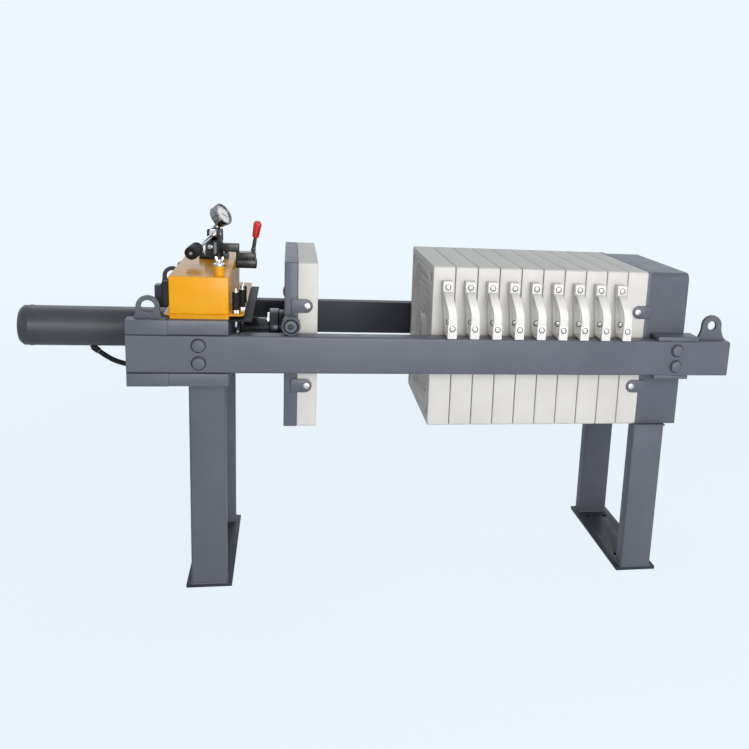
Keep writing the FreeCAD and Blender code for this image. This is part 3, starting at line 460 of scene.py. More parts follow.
def carved(mesh, tools):
    # a closed shape with the volume of the tools taken out
    cutter = bpy.data.objects.new("tools", meshOf("tools", tools))
    blank = bpy.data.objects.new("blank", mesh)
    for item in (cutter, blank):
        work = bmesh.new()
        work.from_mesh(item.data)
        bmesh.ops.remove_doubles(work, verts=work.verts, dist=1e-6)
        bmesh.ops.recalc_face_normals(work, faces=work.faces)
        work.to_mesh(item.data)
        work.free()
        bpy.context.scene.collection.objects.link(item)
    taken = blank.modifiers.new("taken", "BOOLEAN")
    taken.object = cutter
    taken.operation = "DIFFERENCE"
    taken.solver = "EXACT"
    bpy.context.view_layer.update()
    result = bpy.data.meshes.new_from_object(blank.evaluated_get(bpy.context.evaluated_depsgraph_get()))
    for item in (cutter, blank):
        bpy.data.objects.remove(item)
    return result


def bead(path, radius, ripple, closed=True):
    # a half-round seam along a path, its thickness swelling and thinning like the ripples of a weld
    path = np.asarray(path, float)
    size = len(path)
    ahead = np.roll(path, -1, 0) - np.roll(path, 1, 0) if closed else np.gradient(path, axis=0)
    ahead /= np.linalg.norm(ahead, axis=1)[:, None]
    helper = np.array([0.31, 0.29, 0.905])
    side = np.cross(ahead, helper)
    side /= np.linalg.norm(side, axis=1)[:, None]
    up = np.cross(side, ahead)
    turn = np.linspace(0, 2 * math.pi, 8, endpoint=False)
    swell = radius * (1 + 0.16 * np.sin(np.arange(size) * ripple))
    grid = path[:, None, :] + swell[:, None, None] * (np.cos(turn)[None, :, None] * side[:, None, :]
                                                      + np.sin(turn)[None, :, None] * up[:, None, :])
    if closed:
        grid = np.concatenate([grid, grid[:1]])
    return rings(grid, closeEnds=not closed)


def cornerPath(corners, spacing):
    # evenly spaced points along a closed run of corners
    corners = np.asarray(corners, float)
    legs = []
    for start, end in zip(corners, np.roll(corners, -1, 0)):
        count = max(2, int(np.linalg.norm(end - start) / spacing))
        share = np.linspace(0, 1, count, endpoint=False)[:, None]
        legs.append(start + (end - start) * share)
    return np.concatenate(legs)


# ---------- side beams ----------

beam = {"corner": 0.006, "wall": 0.006, "edge": 0.002}


def beamShape(node):
    # a box tube: the inner wall runs back from the closed end, turns over the open end and returns as the
    # outer wall
    low, high = span(node)
    half = (high - low)[1:] / 2
    middle = ((high + low) / 2)[1:]
    outer = roundedLoop(half[0], half[1], beam["corner"], 7)
    inner = roundedLoop(half[0] - beam["wall"], half[1] - beam["wall"], 0.003, 7)
    edge = beam["edge"]
    shares = np.array([1 - edge / half[0] * (1 - math.sin(a)) for a in np.linspace(math.pi / 2, 0, 4)])
    ends = high[0] - edge + edge * np.cos(np.linspace(math.pi / 2, 0, 4))
    tail = [outer * share for share in shares]
    loops = np.stack([inner, inner, outer, *tail]) + middle
    stations = np.concatenate([[high[0] - beam["wall"], low[0], low[0]], ends])
    return rings(standing(loops, stations, "x"))


# the far beam gets the darker grey as painted shade
for node, paint in (("near_side_beam", "greyPaint"), ("far_side_beam", "paintedShadeGrey")):
    addPiece(node + "Tube", meshOf(node + "Tube", [beamShape(node)]), paint, "frame", [node])
print("side beams made")


# ---------- stands ----------

leg = {"corner": 0.007, "bead": 0.0028, "beadStep": 0.0035}


def legShapes(node):
    # each leg is a rounded rectangle carried straight up
    low, high = span(node)
    deep = 0.050
    return [softBlock((low[0], y, low[2]), (high[0], y + deep, high[2]), leg["corner"], 0.0004, "z", 7, 2)
            for y in (low[1], high[1] - deep)]


def legSeams(node):
    # a weld bead round the foot and round the head of each leg
    low, high = span(node)
    seams = []
    for y in (low[1], high[1] - 0.050):
        for z in (low[2], high[2]):
            corners = [(low[0], y, z), (high[0], y, z), (high[0], y + 0.050, z), (low[0], y + 0.050, z)]
            seams.append(bead(cornerPath(corners, leg["beadStep"]), leg["bead"], 1.9))
    return seams


for stand in ("thrust_stand", "cylinder_stand"):
    addPiece(stand + "Legs", meshOf(stand + "Legs", legShapes(stand + "_legs")), "greyPaint", "frame",
             [stand + "_legs"])
    addPiece(stand + "Seams", meshOf(stand + "Seams", legSeams(stand + "_legs")), "greyPaint", "frame",
             sharp=80)
    # the stand feet get the darker grey as painted shade
    addPiece(stand + "Foot", softened(stand + "_base", 0.0015), "paintedShadeGrey", "frame", [stand + "_base"])
print("stands made")


# ---------- cylinder end ----------

seat = {"edge": 0.0022, "behind": 0.001, "ear": 0.012, "ledge": 0.006, "past": 0.02, "line": 0.0008}
seatLow, seatHigh = span("cylinder_seat")
seatEars = span("seat_lifting_lugs")
wrapEnd = float(span("tank_cover")[0][0]) - seat["behind"]
wrapInner = abs(float(seatEars[0][1])) - seat["ear"] - seat["ledge"]
well = softBlock((seatLow[0] - seat["past"], -wrapInner, seatLow[2] - seat["past"]),
                 (wrapEnd, wrapInner, seatHigh[2] + seat["past"]), 0.003, 0.001, "z")
addPiece("seatCasting", carved(softened("cylinder_seat", seat["edge"]), [well]), "greyPaint", "frame",
         ["cylinder_seat"])


def seatJointShadeLines():
    # the joints where each beam lies in the seat, as hair-thin black strips along its outer face; their
    # blackness is painted shade of the gap
    lines = []
    for side, node in ((-1, "near_side_beam"), (1, "far_side_beam")):
        low, high = span(node)
        face = low[1] if side < 0 else high[1]
        yLow, yHigh = sorted((face - side * 0.002, face + side * 0.0005))
        for z in (low[2], high[2]):
            lines.append(softBlock((seatLow[0] + 0.001, yLow, z - seat["line"]),
                                   (seatHigh[0], yHigh, z + seat["line"]), 0.0003, 0.0002, "x", 2, 2))
    return lines


# black strips as painted shade in the joints between beam and seat
addPiece("seatJointShade", meshOf("seatJointShade", seatJointShadeLines()), "blackRubber", "frame")
# the mounting panel gets the matt black rubber finish as painted shade, for the shadowed space under the tank
addPiece("tankPanel", softened("mounting_panel", 0.0015), "blackRubber", "frame", ["mounting_panel"])

barrel = {"radius": 0.055, "seam": 0.012, "count": 72}


def barrelShape():
    # a tube with a turned-over rear edge, a shallow dish in its end and one raised weld ring
    low, high = span("cylinder_barrel")
    long = wrapEnd - low[0] + 0.002
    r = barrel["radius"]
    s = barrel["seam"]
    profile = eased([(0.004, 0), (0.004, 0.034), (0, 0.038), (0, 0.046), (0.010, r - 0.0002)], 0.003)
    weld = [(s + 0.010, r), (s + 0.013, r + 0.0010), (s + 0.016, r + 0.0014), (s + 0.019, r + 0.0010),
            (s + 0.022, r)]
    rest = [(long - 0.001, r), (long, r - 0.001), (long, 0.044), (long - 0.02, 0.044), (long - 0.02, 0)]
    return spun(np.concatenate([profile, weld, rest]), (low[0], 0, (low[2] + high[2]) / 2), (1, 0, 0),
                barrel["count"])


addPiece("barrelShell", meshOf("barrelShell", [barrelShape()]), "darkBarrel", "frame", ["cylinder_barrel"])

stackHeight = float((span("filter_plate_1")[0][2] + span("filter_plate_1")[1][2]) / 2)
gland = {"bolts": 8, "pitch": 0.056, "flat": 0.006, "head": 0.006}


def glandShapes():
    # a stepped ring; its screws sit evenly on one circle
    low, high = span("cylinder_gland")
    long = high[0] - low[0]
    profile = eased([(0, 0.0325), (0, 0.069), (long, 0.069), (long, 0.044), (long + 0.004, 0.043),
                     (long + 0.004, 0.0325)], 0.0015)
    shapes = [spun(np.concatenate([profile, profile[:1]]), (low[0], 0, stackHeight), (1, 0, 0), 64)]
    for turn in np.arange(gland["bolts"]) * 2 * math.pi / gland["bolts"] + 0.3:
        place = (high[0], gland["pitch"] * math.cos(turn), stackHeight + gland["pitch"] * math.sin(turn))
        shapes.append(hexBolt(place, (1, 0, 0), gland["flat"], gland["head"]))
    return shapes


addPiece("glandRing", meshOf("glandRing", glandShapes()), "darkBarrel", "frame", ["cylinder_gland"])

ram = {"radius": 0.032, "flange": 0.058, "thick": 0.042}


def ramShape():
    # a plain rod that steps out to a round flange with turned edges
    low, high = span("piston_rod")
    long = high[0] - low[0]
    start = long - ram["thick"]
    profile = eased([(0, 0), (0, 0.0445), (0.03, 0.0445), (0.03, ram["radius"]), (start, ram["radius"]),
                     (start, ram["flange"]), (long - 0.016, ram["flange"]), (long - 0.016, ram["flange"]
                                                                             - 0.004),
                     (long, ram["flange"] - 0.004), (long, 0)], 0.0018)
    return spun(profile, (low[0], 0, stackHeight), (1, 0, 0), 64)


addPiece("ramRod", meshOf("ramRod", [ramShape()]), "oiledSteel", "pressing", ["piston_rod"])

studLow, studHigh = span("flange_studs")
studReach = (ram["radius"] + ram["flange"]) / 2 * math.sin(math.radians(45))
studShapes = []
for across in (-1, 1):
    for up in (-1, 1):
        studShapes.append(hexBolt((studHigh[0], across * studReach, stackHeight + up * studReach), (-1, 0, 0),
                                  0.0078, studHigh[0] - studLow[0]))
addPiece("flangeStuds", meshOf("flangeStuds", studShapes), "zincScrew", "pressing", ["flange_studs"])
print("cylinder end made")


# ---------- plates ----------

plate = {
    "half": 0.225, "corner": 0.007, "edge": 0.0025, "eye": 0.024, "boss": 0.050, "floor": 0.013,
    "slope": 0.008,
    "border": 0.191, "cut": 0.304, "groove": 0.0025, "pipRadius": 0.0042, "pipHigh": 0.004, "pipGap": 0.0205,
    "cornerEye": 0.013, "cornerInset": 0.034, "sideSteps": 14,
}


def squareOutline(half, corner):
    # a rounded square with extra points along its straight sides
    loop = roundedLoop(half, half, corner, 7)
    points = []
    for start, end in zip(loop, np.roll(loop, -1, 0)):
        count = plate["sideSteps"] if np.hypot(*(end - start)) > half else 1
        points.append(start + (end - start) * np.linspace(0, 1, count, endpoint=False)[:, None])
    return np.concatenate(points)


plateOutline = squareOutline(plate["half"], plate["corner"])
plateAngle = np.arctan2(plateOutline[:, 1], plateOutline[:, 0])


def roundRing(radius):
    return radius * np.stack([np.cos(plateAngle), np.sin(plateAngle)], axis=-1)


def chamberRing(shrink):
    # the chamber's edge: a square whose corners are cut, moved inwards by the given amount
    c, s = np.abs(np.cos(plateAngle)), np.abs(np.sin(plateAngle))
    flat = plate["border"] - shrink
    reach = np.minimum(flat / np.maximum(c, s), (plate["cut"] - shrink * math.sqrt(2)) / (c + s))
    return roundRing(1.0) * reach[:, None]


def plateFace(chambered):
    # rings from the feed eye to the rim: (loop, depth below the face)
    if not chambered:
        return [(roundRing(0.08), 0.0), (roundRing(0.16), 0.0),
                (plateOutline * (1 - plate["edge"] / plate["half"]), 0.0)]
    face = [(roundRing(plate["eye"] + 0.002), 0.0), (roundRing(plate["boss"] - 0.0015), 0.0),
            (roundRing(plate["boss"]), 0.0015), (roundRing(plate["boss"] + 0.003), plate["floor"])]
    outer, inner = chamberRing(plate["slope"]), roundRing(plate["boss"] + 0.003)
    for share in (0.12, 0.16, 0.20, 0.34, 0.38, 0.42, 0.60, 0.64, 0.68, 0.88, 0.92):
        ridge = 0.0016 if round(share, 2) in (0.16, 0.38, 0.64) else 0
        face.append((inner * (1 - share) + outer * share, plate["floor"] - ridge))
    face += [(outer, plate["floor"]), (chamberRing(0.0012), 0.0014), (chamberRing(0.0), 0.0)]
    rim = plateOutline * (1 - plate["edge"] / plate["half"])
    edge = chamberRing(0.0)
    for share, depth in ((0.22, 0), (0.26, plate["groove"]), (0.36, plate["groove"]), (0.40, 0), (0.92, 0)):
        face.append((edge * (1 - share) + rim * share, depth))
    face.append((rim, 0.0))
    return face


def pips(left, facing):
    # short round studs in even rows over the chamber floor, each a ring of eight points on a wider ring
    steps = np.arange(-8, 9) * plate["pipGap"]
    y, z = [part.ravel() for part in np.meshgrid(steps, steps)]
    out = np.hypot(y, z)
    inside = (out > plate["boss"] + 0.012) & (np.abs(y) + np.abs(z) < plate["cut"] - 0.026)
    inside &= (np.abs(y) < plate["border"] - 0.016) & (np.abs(z) < plate["border"] - 0.016)
    centre = np.stack([y[inside], z[inside]], axis=-1)
    turn = np.linspace(0, 2 * math.pi, 8, endpoint=False)
    circle = np.stack([np.cos(turn), np.sin(turn)], axis=-1)
    shapes = []
    radii = np.array([1.0, 0.8, 0.5]) * plate["pipRadius"]
    lifts = np.array([0.0, 0.8, 1.0]) * plate["pipHigh"]
    for middle in centre:
        loops = middle + np.array([0, stackHeight]) + radii[:, None, None] * circle
        shapes.append(rings(standing(loops, left + facing * (lifts - plate["floor"] - 0.0002), "x"),
                            closeEnds=False))
        points, faces = shapes[-1]
        faces.append(list(range(16, 24)))
    return shapes


def plateShape(left, right, leftFace, rightFace, bored=True):
    # left face from the eye outwards, a turned edge, the side, the other edge and the right face back to
    # the eye
    turn = np.linspace(0, math.pi / 2, 4)
    rim = [(plateOutline * (1 - plate["edge"] / plate["half"] * (1 - math.sin(a))),
            plate["edge"] * (1 - math.cos(a)))
           for a in turn]
    first = plateFace(leftFace) + rim[1:]
    second = plateFace(rightFace) + rim[1:]
    loops = [loop for loop, depth in first] + [loop for loop, depth in reversed(second)]
    stations = [left + depth for loop, depth in first] + [right - depth for loop, depth in reversed(second)]
    if bored:
        eye = roundRing(plate["eye"])
        loops = [eye] + loops + [eye, eye]
        stations = [left + 0.002] + stations + [right - 0.002, left + 0.002]
    grid = standing(np.stack(loops) + np.array([0, stackHeight]), np.array(stations), "x")
    return rings(grid, closeEnds=not bored)


def passages(left, right):
    # the four corner passages of a plate as plugs that are taken out of it
    reach = plate["half"] - plate["cornerInset"]
    long, eye = right - left + 0.01, plate["cornerEye"]
    return [spun([(-0.01, 0), (-0.01, eye), (long, eye), (long, 0)],
                 (left, y * reach, stackHeight + z * reach), (1, 0, 0), 24) for y in (-1, 1) for z in (-1, 1)]


def shifted(mesh, along, name):
    # the same plate further along the press
    copy = mesh.copy()
    copy.name = name
    points = np.empty(len(copy.vertices) * 3)
    copy.vertices.foreach_get("co", points)
    points[0::3] += along
    copy.vertices.foreach_set("co", points)
    return copy


plateCount = 9
firstLow, firstHigh = span("filter_plate_1")
chamberPlate = carved(meshOf("chamberPlate", [plateShape(firstLow[0], firstHigh[0], True, True)]),
                      passages(firstLow[0], firstHigh[0]))
pipMesh = meshOf("pips", pips(firstLow[0], -1) + pips(firstHigh[0], 1))
for number in range(1, plateCount + 1):
    along = float(span(f"filter_plate_{number}")[0][0] - firstLow[0])
    addPiece(f"chamberPlate{number}", shifted(chamberPlate, along, f"chamberPlate{number}"), "whitePlate",
             f"plate_{number}",
             [f"filter_plate_{number}"])
    addPiece(f"platePips{number}", shifted(pipMesh, along, f"platePips{number}"), "whitePlate",
             f"plate_{number}")

tailLow, tailHigh = span("tail_end_plate")
tailMesh = carved(meshOf("tailPlate", [plateShape(tailLow[0], tailHigh[0], True, False)]),
                  passages(tailLow[0], tailHigh[0]))
addPiece("tailPlate", tailMesh, "whitePlate", "frame", ["tail_end_plate"])
addPiece("tailPips", meshOf("tailPips", pips(tailLow[0], -1)), "whitePlate", "frame")
headLow, headHigh = span("head_end_plate")
addPiece("headPlate", meshOf("headPlate", [plateShape(headLow[0], headHigh[0], False, True, bored=False)]),
         "whitePlate",
         "pressing", ["head_end_plate"])
addPiece("headPips", meshOf("headPips", pips(headHigh[0], 1)), "whitePlate", "pressing")
pressLow, pressHigh = span("pressing_plate")
addPiece("pressSlab", meshOf("pressSlab", [softBlock(pressLow, pressHigh, 0.004, 0.0025, "x")]),
         "greyPaint", "pressing",
         ["pressing_plate"])
print("plates made")


# ---------- plate handles ----------

handle = {
    "wide": 0.024, "thick": 0.008, "soft": 0.0024, "reach": 0.0704, "block": 0.028, "blockWide": 0.028,
    "blockHigh": 0.033,
    "knee": 0.040, "belly": 0.50, "skew": 0.0095, "screw": 0.0062, "screwHigh": 0.0018, "ring": 0.0082,
}


def bowPath(inner, outer, foot, top):
    # the middle line of the grip's flat bar: down the plate's side, out under the foot, straight up to the
    # belly
    # and back to the screw block by a quarter of an ellipse
    half = handle["thick"] / 2
    shoulder = top - handle["blockHigh"]
    belly = foot + handle["belly"] * (shoulder - foot)
    start = inner + handle["block"] - half
    turn = np.linspace(0, math.pi / 2, 13)[:, None]
    curve = np.concatenate([start + (outer - half - start) * np.cos(turn),
                            belly + (shoulder + half / 2 - belly) * np.sin(turn)], axis=1)
    corners = [(inner + half, shoulder), (inner + half, foot + half), (outer - half, foot + half),
               (outer - half, belly)]
    bottom = eased(corners, 0.0045, 6)
    return np.concatenate([bottom[:-1], curve, [(inner + half * 3, shoulder + half / 2)]])


def leaning(shape, foot, top):
    # everything under the screw block moves along the press, by a smooth step between the shoulder and the
    # belly
    points, faces = shape
    shoulder = top - handle["blockHigh"]
    drop = np.clip((shoulder - points[:, 2]) / ((shoulder - foot) * (1 - handle["belly"])), 0, 1)
    moved = points.copy()
    moved[:, 0] += handle["skew"] * drop * drop * (3 - 2 * drop)
    return moved, faces


def handleShapes(middle, foot, top, side):
    # a rounded bar carried round that line, the screw block above it and the square pad at its outer foot
    inner, outer = plate["half"], plate["half"] + handle["reach"]
    path = bowPath(inner, outer, foot, top)
    ahead = np.roll(path, -1, 0) - np.roll(path, 1, 0)
    ahead /= np.linalg.norm(ahead, axis=1)[:, None]
    out = np.stack([ahead[:, 1], -ahead[:, 0]], axis=-1)
    section = roundedLoop(handle["wide"] / 2, handle["thick"] / 2, handle["soft"], 4)
    grid = np.empty((len(path), len(section), 3))
    grid[:, :, 0] = middle + section[None, :, 0]
    grid[:, :, 1] = side * (path[:, 0, None] + out[:, 0, None] * section[None, :, 1])
    grid[:, :, 2] = path[:, 1, None] + out[:, 1, None] * section[None, :, 1]
    bar = rings(np.concatenate([grid, grid[:1]]), closeEnds=False)
    yLow, yHigh = sorted((side * inner, side * (inner + handle["block"])))
    wide = handle["blockWide"] / 2
    block = softBlock((middle - wide, yLow, top - handle["blockHigh"]), (middle + wide, yHigh, top), 0.0025,
                      0.0022, "y")
    yLow, yHigh = sorted((side * (outer - handle["thick"] - 0.001), side * (outer + 0.0006)))
    wide = handle["wide"] / 2 + 0.0006
    pad = softBlock((middle - wide, yLow, foot), (middle + wide, yHigh, foot + handle["knee"]), 0.002,
                    0.0012, "y")
    return [leaning(part, foot, top) for part in (bar, block, pad)]


def handleScrews(middle, foot, top, side):
    # low screw heads, each in a thin black ring that is painted shade of its counterbore's rim
    inner, outer = plate["half"], plate["half"] + handle["reach"]
    places = [(side * (inner + handle["block"]), top - 0.016), (side * (outer + 0.0006), foot + 0.027),
              (side * (inner + handle["thick"]), foot + 0.034)]
    heads = [leaning(crossScrew((middle, y, z), (0, side, 0), handle["screw"], handle["screwHigh"],
                                0.3 + 2.1 * z / 0.1), foot, top)
             for y, z in places]
    # the black ring round each screw is painted shade, standing for the shadow in the counterbore
    wide = handle["ring"]
    rim = [(-0.0004, wide - 0.0020), (0.0003, wide - 0.0019), (0.0005, wide - 0.0010), (0.0003, wide),
           (-0.0004, wide), (-0.0004, wide - 0.0020)]
    shadowRings = [leaning(spun(rim, (middle, y, z), (0, side, 0), 32), foot, top) for y, z in places]
    return heads, shadowRings


for number in range(1, plateCount + 1):
    low, high = span(f"plate_handles_{number}")
    middle = float(low[0] + high[0]) / 2
    shapes, screws, shadowRings = [], [], []
    for side in (-1, 1):
        shapes += handleShapes(middle, float(low[2]), float(high[2]), side)
        heads, screwShadows = handleScrews(middle, float(low[2]), float(high[2]), side)
        screws += heads
        shadowRings += screwShadows
    addPiece(f"plateGrips{number}", meshOf(f"plateGrips{number}", shapes), "handlePlastic", f"plate_{number}",
             [f"plate_handles_{number}"], sharp=50)
    addPiece(f"gripScrews{number}", meshOf(f"gripScrews{number}", screws), "zincScrew", f"plate_{number}")
    # rings of painted shade round the grip screws
    addPiece(f"screwShadowRings{number}", meshOf(f"screwShadowRings{number}", shadowRings), "blackRubber", f"plate_{number}")
print("handles made")


# ---------- clips, bolts and lugs ----------

clip = {"thick": 0.005, "edge": 0.0012, "screw": 0.0085, "screwHigh": 0.003}


def clipOutline(heel, bend, half, direction, height):
    # a strap with one square and one half-round end
    turn = np.linspace(-math.pi / 2, math.pi / 2, 17)
    roundEnd = np.stack([bend + direction * half * np.cos(turn), height + half * np.sin(turn)], axis=-1)
    heelEnd = np.array([(heel + direction * 0.002, height + half), (heel, height + half - 0.002),
                        (heel, height - half + 0.002), (heel + direction * 0.002, height - half)])
    return np.concatenate([roundEnd, heelEnd])


def clipShapes(node, direction):
    low, high = span(node)
    half = 0.0185
    straps, screws = [], []
    heel, tip = (low[0], high[0]) if direction > 0 else (high[0], low[0])
    bend = tip - direction * half
    for height in (high[2] - half, low[2] + half):
        for side in (-1, 1):
            face = side * plate["half"]
            outline = clipOutline(heel, bend, half, direction, height)
            edges = sorted((face, face + side * clip["thick"]))
            straps.append(flatPlate(outline, edges[0], edges[1], clip["edge"], "y"))
            screws.append(crossScrew((bend + direction * 0.004, face + side * clip["thick"], height),
                                     (0, side, 0),
                                     clip["screw"], clip["screwHigh"]))
    return straps, screws


for node, direction, body in (("head_plate_clips", 1, "pressing"), ("tail_plate_clips", -1, "frame")):
    straps, screws = clipShapes(node, direction)
    addPiece(node + "Straps", meshOf(node + "Straps", straps), "greyPaint", body, [node])
    addPiece(node + "Screws", meshOf(node + "Screws", screws), "zincScrew", body)

bolt = {"flat": 0.0140, "rise": 0.023, "rim": 0.0186}
for node in ("seat_bolts", "thrust_bolts"):
    low, high = span(node)
    middle = (low + high) / 2
    heads, shadowRings = [], []
    # the thin black ring round each bolt head is painted shade, a shadow line round its washer
    outer, inner = bolt["rim"], bolt["rim"] - 0.0022
    rim = [(0, inner), (0.0006, inner), (0.0006, outer), (0, outer), (0, inner)]
    for side, face in ((-1, span("near_side_beam")[0][1]), (1, span("far_side_beam")[1][1])):
        for up in (-1, 1):
            place = (middle[0], face, middle[2] + up * bolt["rise"])
            heads.append(hexBolt(place, (0, side, 0), bolt["flat"], 0.009, 0.35 * up))
            shadowRings.append(spun(rim, place, (0, side, 0), 40))
    addPiece(node + "Heads", meshOf(node + "Heads", heads), "greyPaint", "frame", [node], sharp=30)
    addPiece(node + "Rims", meshOf(node + "Rims", shadowRings), "blackRubber", "frame")

lug = {"edge": 0.0015, "seat": (0.029, 0.017), "beam": (0.030, 0.013)}


def lugShape(low, high, crown, hole, yLow, yHigh):
    # rings between the hole and an outline that widens from the round crown to the foot along a hollow curve
    middle = (low[0] + high[0]) / 2
    centre = high[2] - crown
    half = (high[0] - low[0]) / 2
    flank = np.linspace(0, 1, 12)
    drop = centre - low[2]
    flankX = crown + (half - crown) * flank ** 2.2
    flankZ = -drop * flank
    arc = np.linspace(0, math.pi, 33)
    right = np.stack([flankX[::-1], flankZ[::-1]], axis=-1)
    top = np.stack([crown * np.cos(arc), crown * np.sin(arc)], axis=-1)[1:-1]
    left = np.stack([-flankX, flankZ], axis=-1)
    base = np.stack([np.linspace(-half, half, 14)[1:-1], np.full(12, -drop)], axis=-1)
    outline = np.concatenate([right, top, left, base])
    angle = np.arctan2(outline[:, 1], outline[:, 0])
    circle = hole * np.stack([np.cos(angle), np.sin(angle)], axis=-1)
    reach = np.abs(outline).max()
    e = lug["edge"]
    small = outline * (1 - e / reach)
    loops = np.stack([circle, circle * (1 + e / hole), small, outline, outline, small,
                      circle * (1 + e / hole), circle, circle])
    stations = np.array([yLow + e, yLow, yLow, yLow + e, yHigh - e, yHigh, yHigh, yHigh - e, yLow + e])
    return rings(standing(loops + np.array([middle, centre]), stations, "y"), closeEnds=False)


for node, key in (("seat_lifting_lugs", "seat"), ("beam_lifting_lugs", "beam")):
    low, high = span(node)
    crown, hole = lug[key]
    shapes = [lugShape(low, high, crown, hole, low[1], low[1] + 0.012), lugShape(low, high, crown, hole,
                                                                                 high[1] - 0.012, high[1])]
    for y in (low[1], high[1] - 0.012):
        corners = [(low[0], y, low[2]), (high[0], y, low[2]), (high[0], y + 0.012, low[2]),
                   (low[0], y + 0.012, low[2])]
        shapes.append(bead(cornerPath(corners, 0.003), 0.0022, 1.9))
    addPiece(node + "Ears", meshOf(node + "Ears", shapes), "greyPaint", "frame", [node])
print("clips, bolts and lugs made")


# ---------- thrust end ----------

addPiece("thrustCasing", softened("thrust_block", 0.0016), "greyPaint", "frame", ["thrust_block"])
addPiece("thrustForks", softened("thrust_bearers", 0.0018), "greyPaint", "frame", ["thrust_bearers"])


def inletShape():
    # a pipe wall: bore, turned end, outside with two threads' worth of grooves, back to the start
    low, high = span("feed_inlet")
    long = high[0] - low[0]
    ridge = [(long - 0.004 - 0.003 * k, 0.033 - 0.0012 * (k % 2)) for k in range(8)]
    profile = [(0, 0.025), (0, 0.033), (long - 0.03, 0.033), *ridge[::-1], (long, 0.032), (long, 0.025),
               (0, 0.025)]
    return spun(profile, (low[0], 0, stackHeight), (1, 0, 0), 64)


addPiece("feedPipe", meshOf("feedPipe", [inletShape()]), "oiledSteel", "frame", ["feed_inlet"])
print("thrust end made")


# ---------- rollers ----------

roller = {"radius": 0.025, "hub": 0.017}
for side, name in ((-1, "near"), (1, "far")):
    low, high = span(f"{name}_roller")
    centre = (low + high) / 2
    long = high[1] - low[1]
    inner = centre[1] - side * long / 2
    r = roller["radius"]
    profile = eased([(0, 0.0095), (0, 0.021), (0.002, r - 0.0008), (long - 0.004, r - 0.0002),
                     (long, r - 0.003), (long, 0.0205),
                     (long - 0.003, 0.0200), (long - 0.003, 0.0095), (0, 0.0095)], 0.0012)
    face = inner + side * (long - 0.003)
    # the flat black ring on the wheel's outer face is painted shade, standing for the shadow in its groove
    groove = [(0.0001, 0.0100), (0.0003, 0.0100), (0.0003, 0.0199), (0.0001, 0.0199), (0.0001, 0.0100)]
    cap = eased([(0.0006, 0), (0.0006, 0.0150), (0.0026, 0.0150), (0.0026, 0)], 0.0006)
    addPiece(f"{name}GrooveShade", meshOf(f"{name}GrooveShade", [spun(groove, (centre[0], face, centre[2]),
                                                            (0, side, 0), 48)]),
             "blackRubber", f"{name}_roller")
    addPiece(f"{name}AxleCap", meshOf(f"{name}AxleCap", [spun(cap, (centre[0], face, centre[2]),
                                                              (0, side, 0), 40)]),
             "greyPaint", "pressing")
    addPiece(f"{name}Wheel", meshOf(f"{name}Wheel", [spun(profile, (centre[0], inner, centre[2]),
                                                          (0, side, 0), 56)]),
             "greyPaint", f"{name}_roller", [f"{name}_roller"])

axleLow, axleHigh = span("roller_axles")
axleMiddle = (axleLow + axleHigh) / 2
axleShapes = []
for side in (-1, 1):
    start = side * plate["half"]
    reach = abs(float(axleLow[1])) - plate["half"]
    profile = eased([(0, 0), (0, roller["hub"]), (0.0155, roller["hub"]), (0.0155, 0.009),
                     (reach - 0.001, 0.009), (reach, 0.008),
                     (reach, 0)], 0.0012)
    axleShapes.append(spun(profile, (axleMiddle[0], start, axleMiddle[2]), (0, side, 0), 40))
addPiece("wheelAxles", meshOf("wheelAxles", axleShapes), "oiledSteel", "pressing", ["roller_axles"])
print("rollers made")


# ---------- oil tank ----------

tank = {"corner": 0.004, "edge": 0.003, "lipCorner": 0.016, "lip": 0.003, "skirt": 0.009}
tankLow, tankHigh = span("oil_tank")
coverLow, coverHigh = span("tank_cover")
seatTop = float(span("cylinder_seat")[1][2])
lipLow = seatTop + tank["skirt"]


def tankShapes():
    # skirt, thin lip with rounded corners and the box above it, each a rounded rectangle carried upwards
    skirt = softBlock((coverLow[0], coverLow[1], seatTop), (coverHigh[0], coverHigh[1], lipLow),
                      tank["corner"], 0.0002, "z", 6, 2)
    lip = softBlock((tankLow[0], tankLow[1], lipLow), (tankHigh[0], tankHigh[1], lipLow + tank["lip"]),
                    tank["lipCorner"], 0.0012, "z", 9)
    shell = softBlock((coverLow[0], coverLow[1], lipLow + tank["lip"]), (coverHigh[0], coverHigh[1],
                                                                         coverHigh[2]), tank["corner"],
                      tank["edge"], "z", 6)
    return [skirt, lip, shell]


addPiece("tankShell", meshOf("tankShell", tankShapes()), "tankYellow", "frame", ["oil_tank", "tank_cover"])

neckLow, neckHigh = span("filler_neck")
neckMiddle = (neckLow + neckHigh) / 2
neckProfile = eased([(0, 0), (0, 0.0135), (0.0135, 0.0135), (0.0135, 0.0128), (0.0150, 0.0128),
                     (0.0150, 0.0135), (0.026, 0.0135), (0.026, 0)], 0.0006)
addPiece("fillerNeck", meshOf("fillerNeck", [spun(neckProfile, (neckMiddle[0], neckMiddle[1], neckLow[2]),
                                                  (0, 0, 1), 40)]),
         "tankYellow", "frame", ["filler_neck"])


def wingShapes(x, y, z):
    # two rounded ears leaning outwards from a small hub
    shapes = [spun(eased([(0, 0), (0, 0.0045), (0.008, 0.0038), (0.008, 0)], 0.001), (x, y, z), (0, 0, 1),
                   20)]
    turn = np.linspace(0, 2 * math.pi, 20, endpoint=False)
    for side in (-1, 1):
        outline = np.stack([x + side * (0.0075 + 0.0042 * np.cos(turn)) , z + 0.0095 + 0.0062 * np.sin(turn)
                            + 0.0022 * np.cos(turn)], axis=-1)
        shapes.append(flatPlate(outline, y - 0.0012, y + 0.0012, 0.0005, "y"))
    return shapes


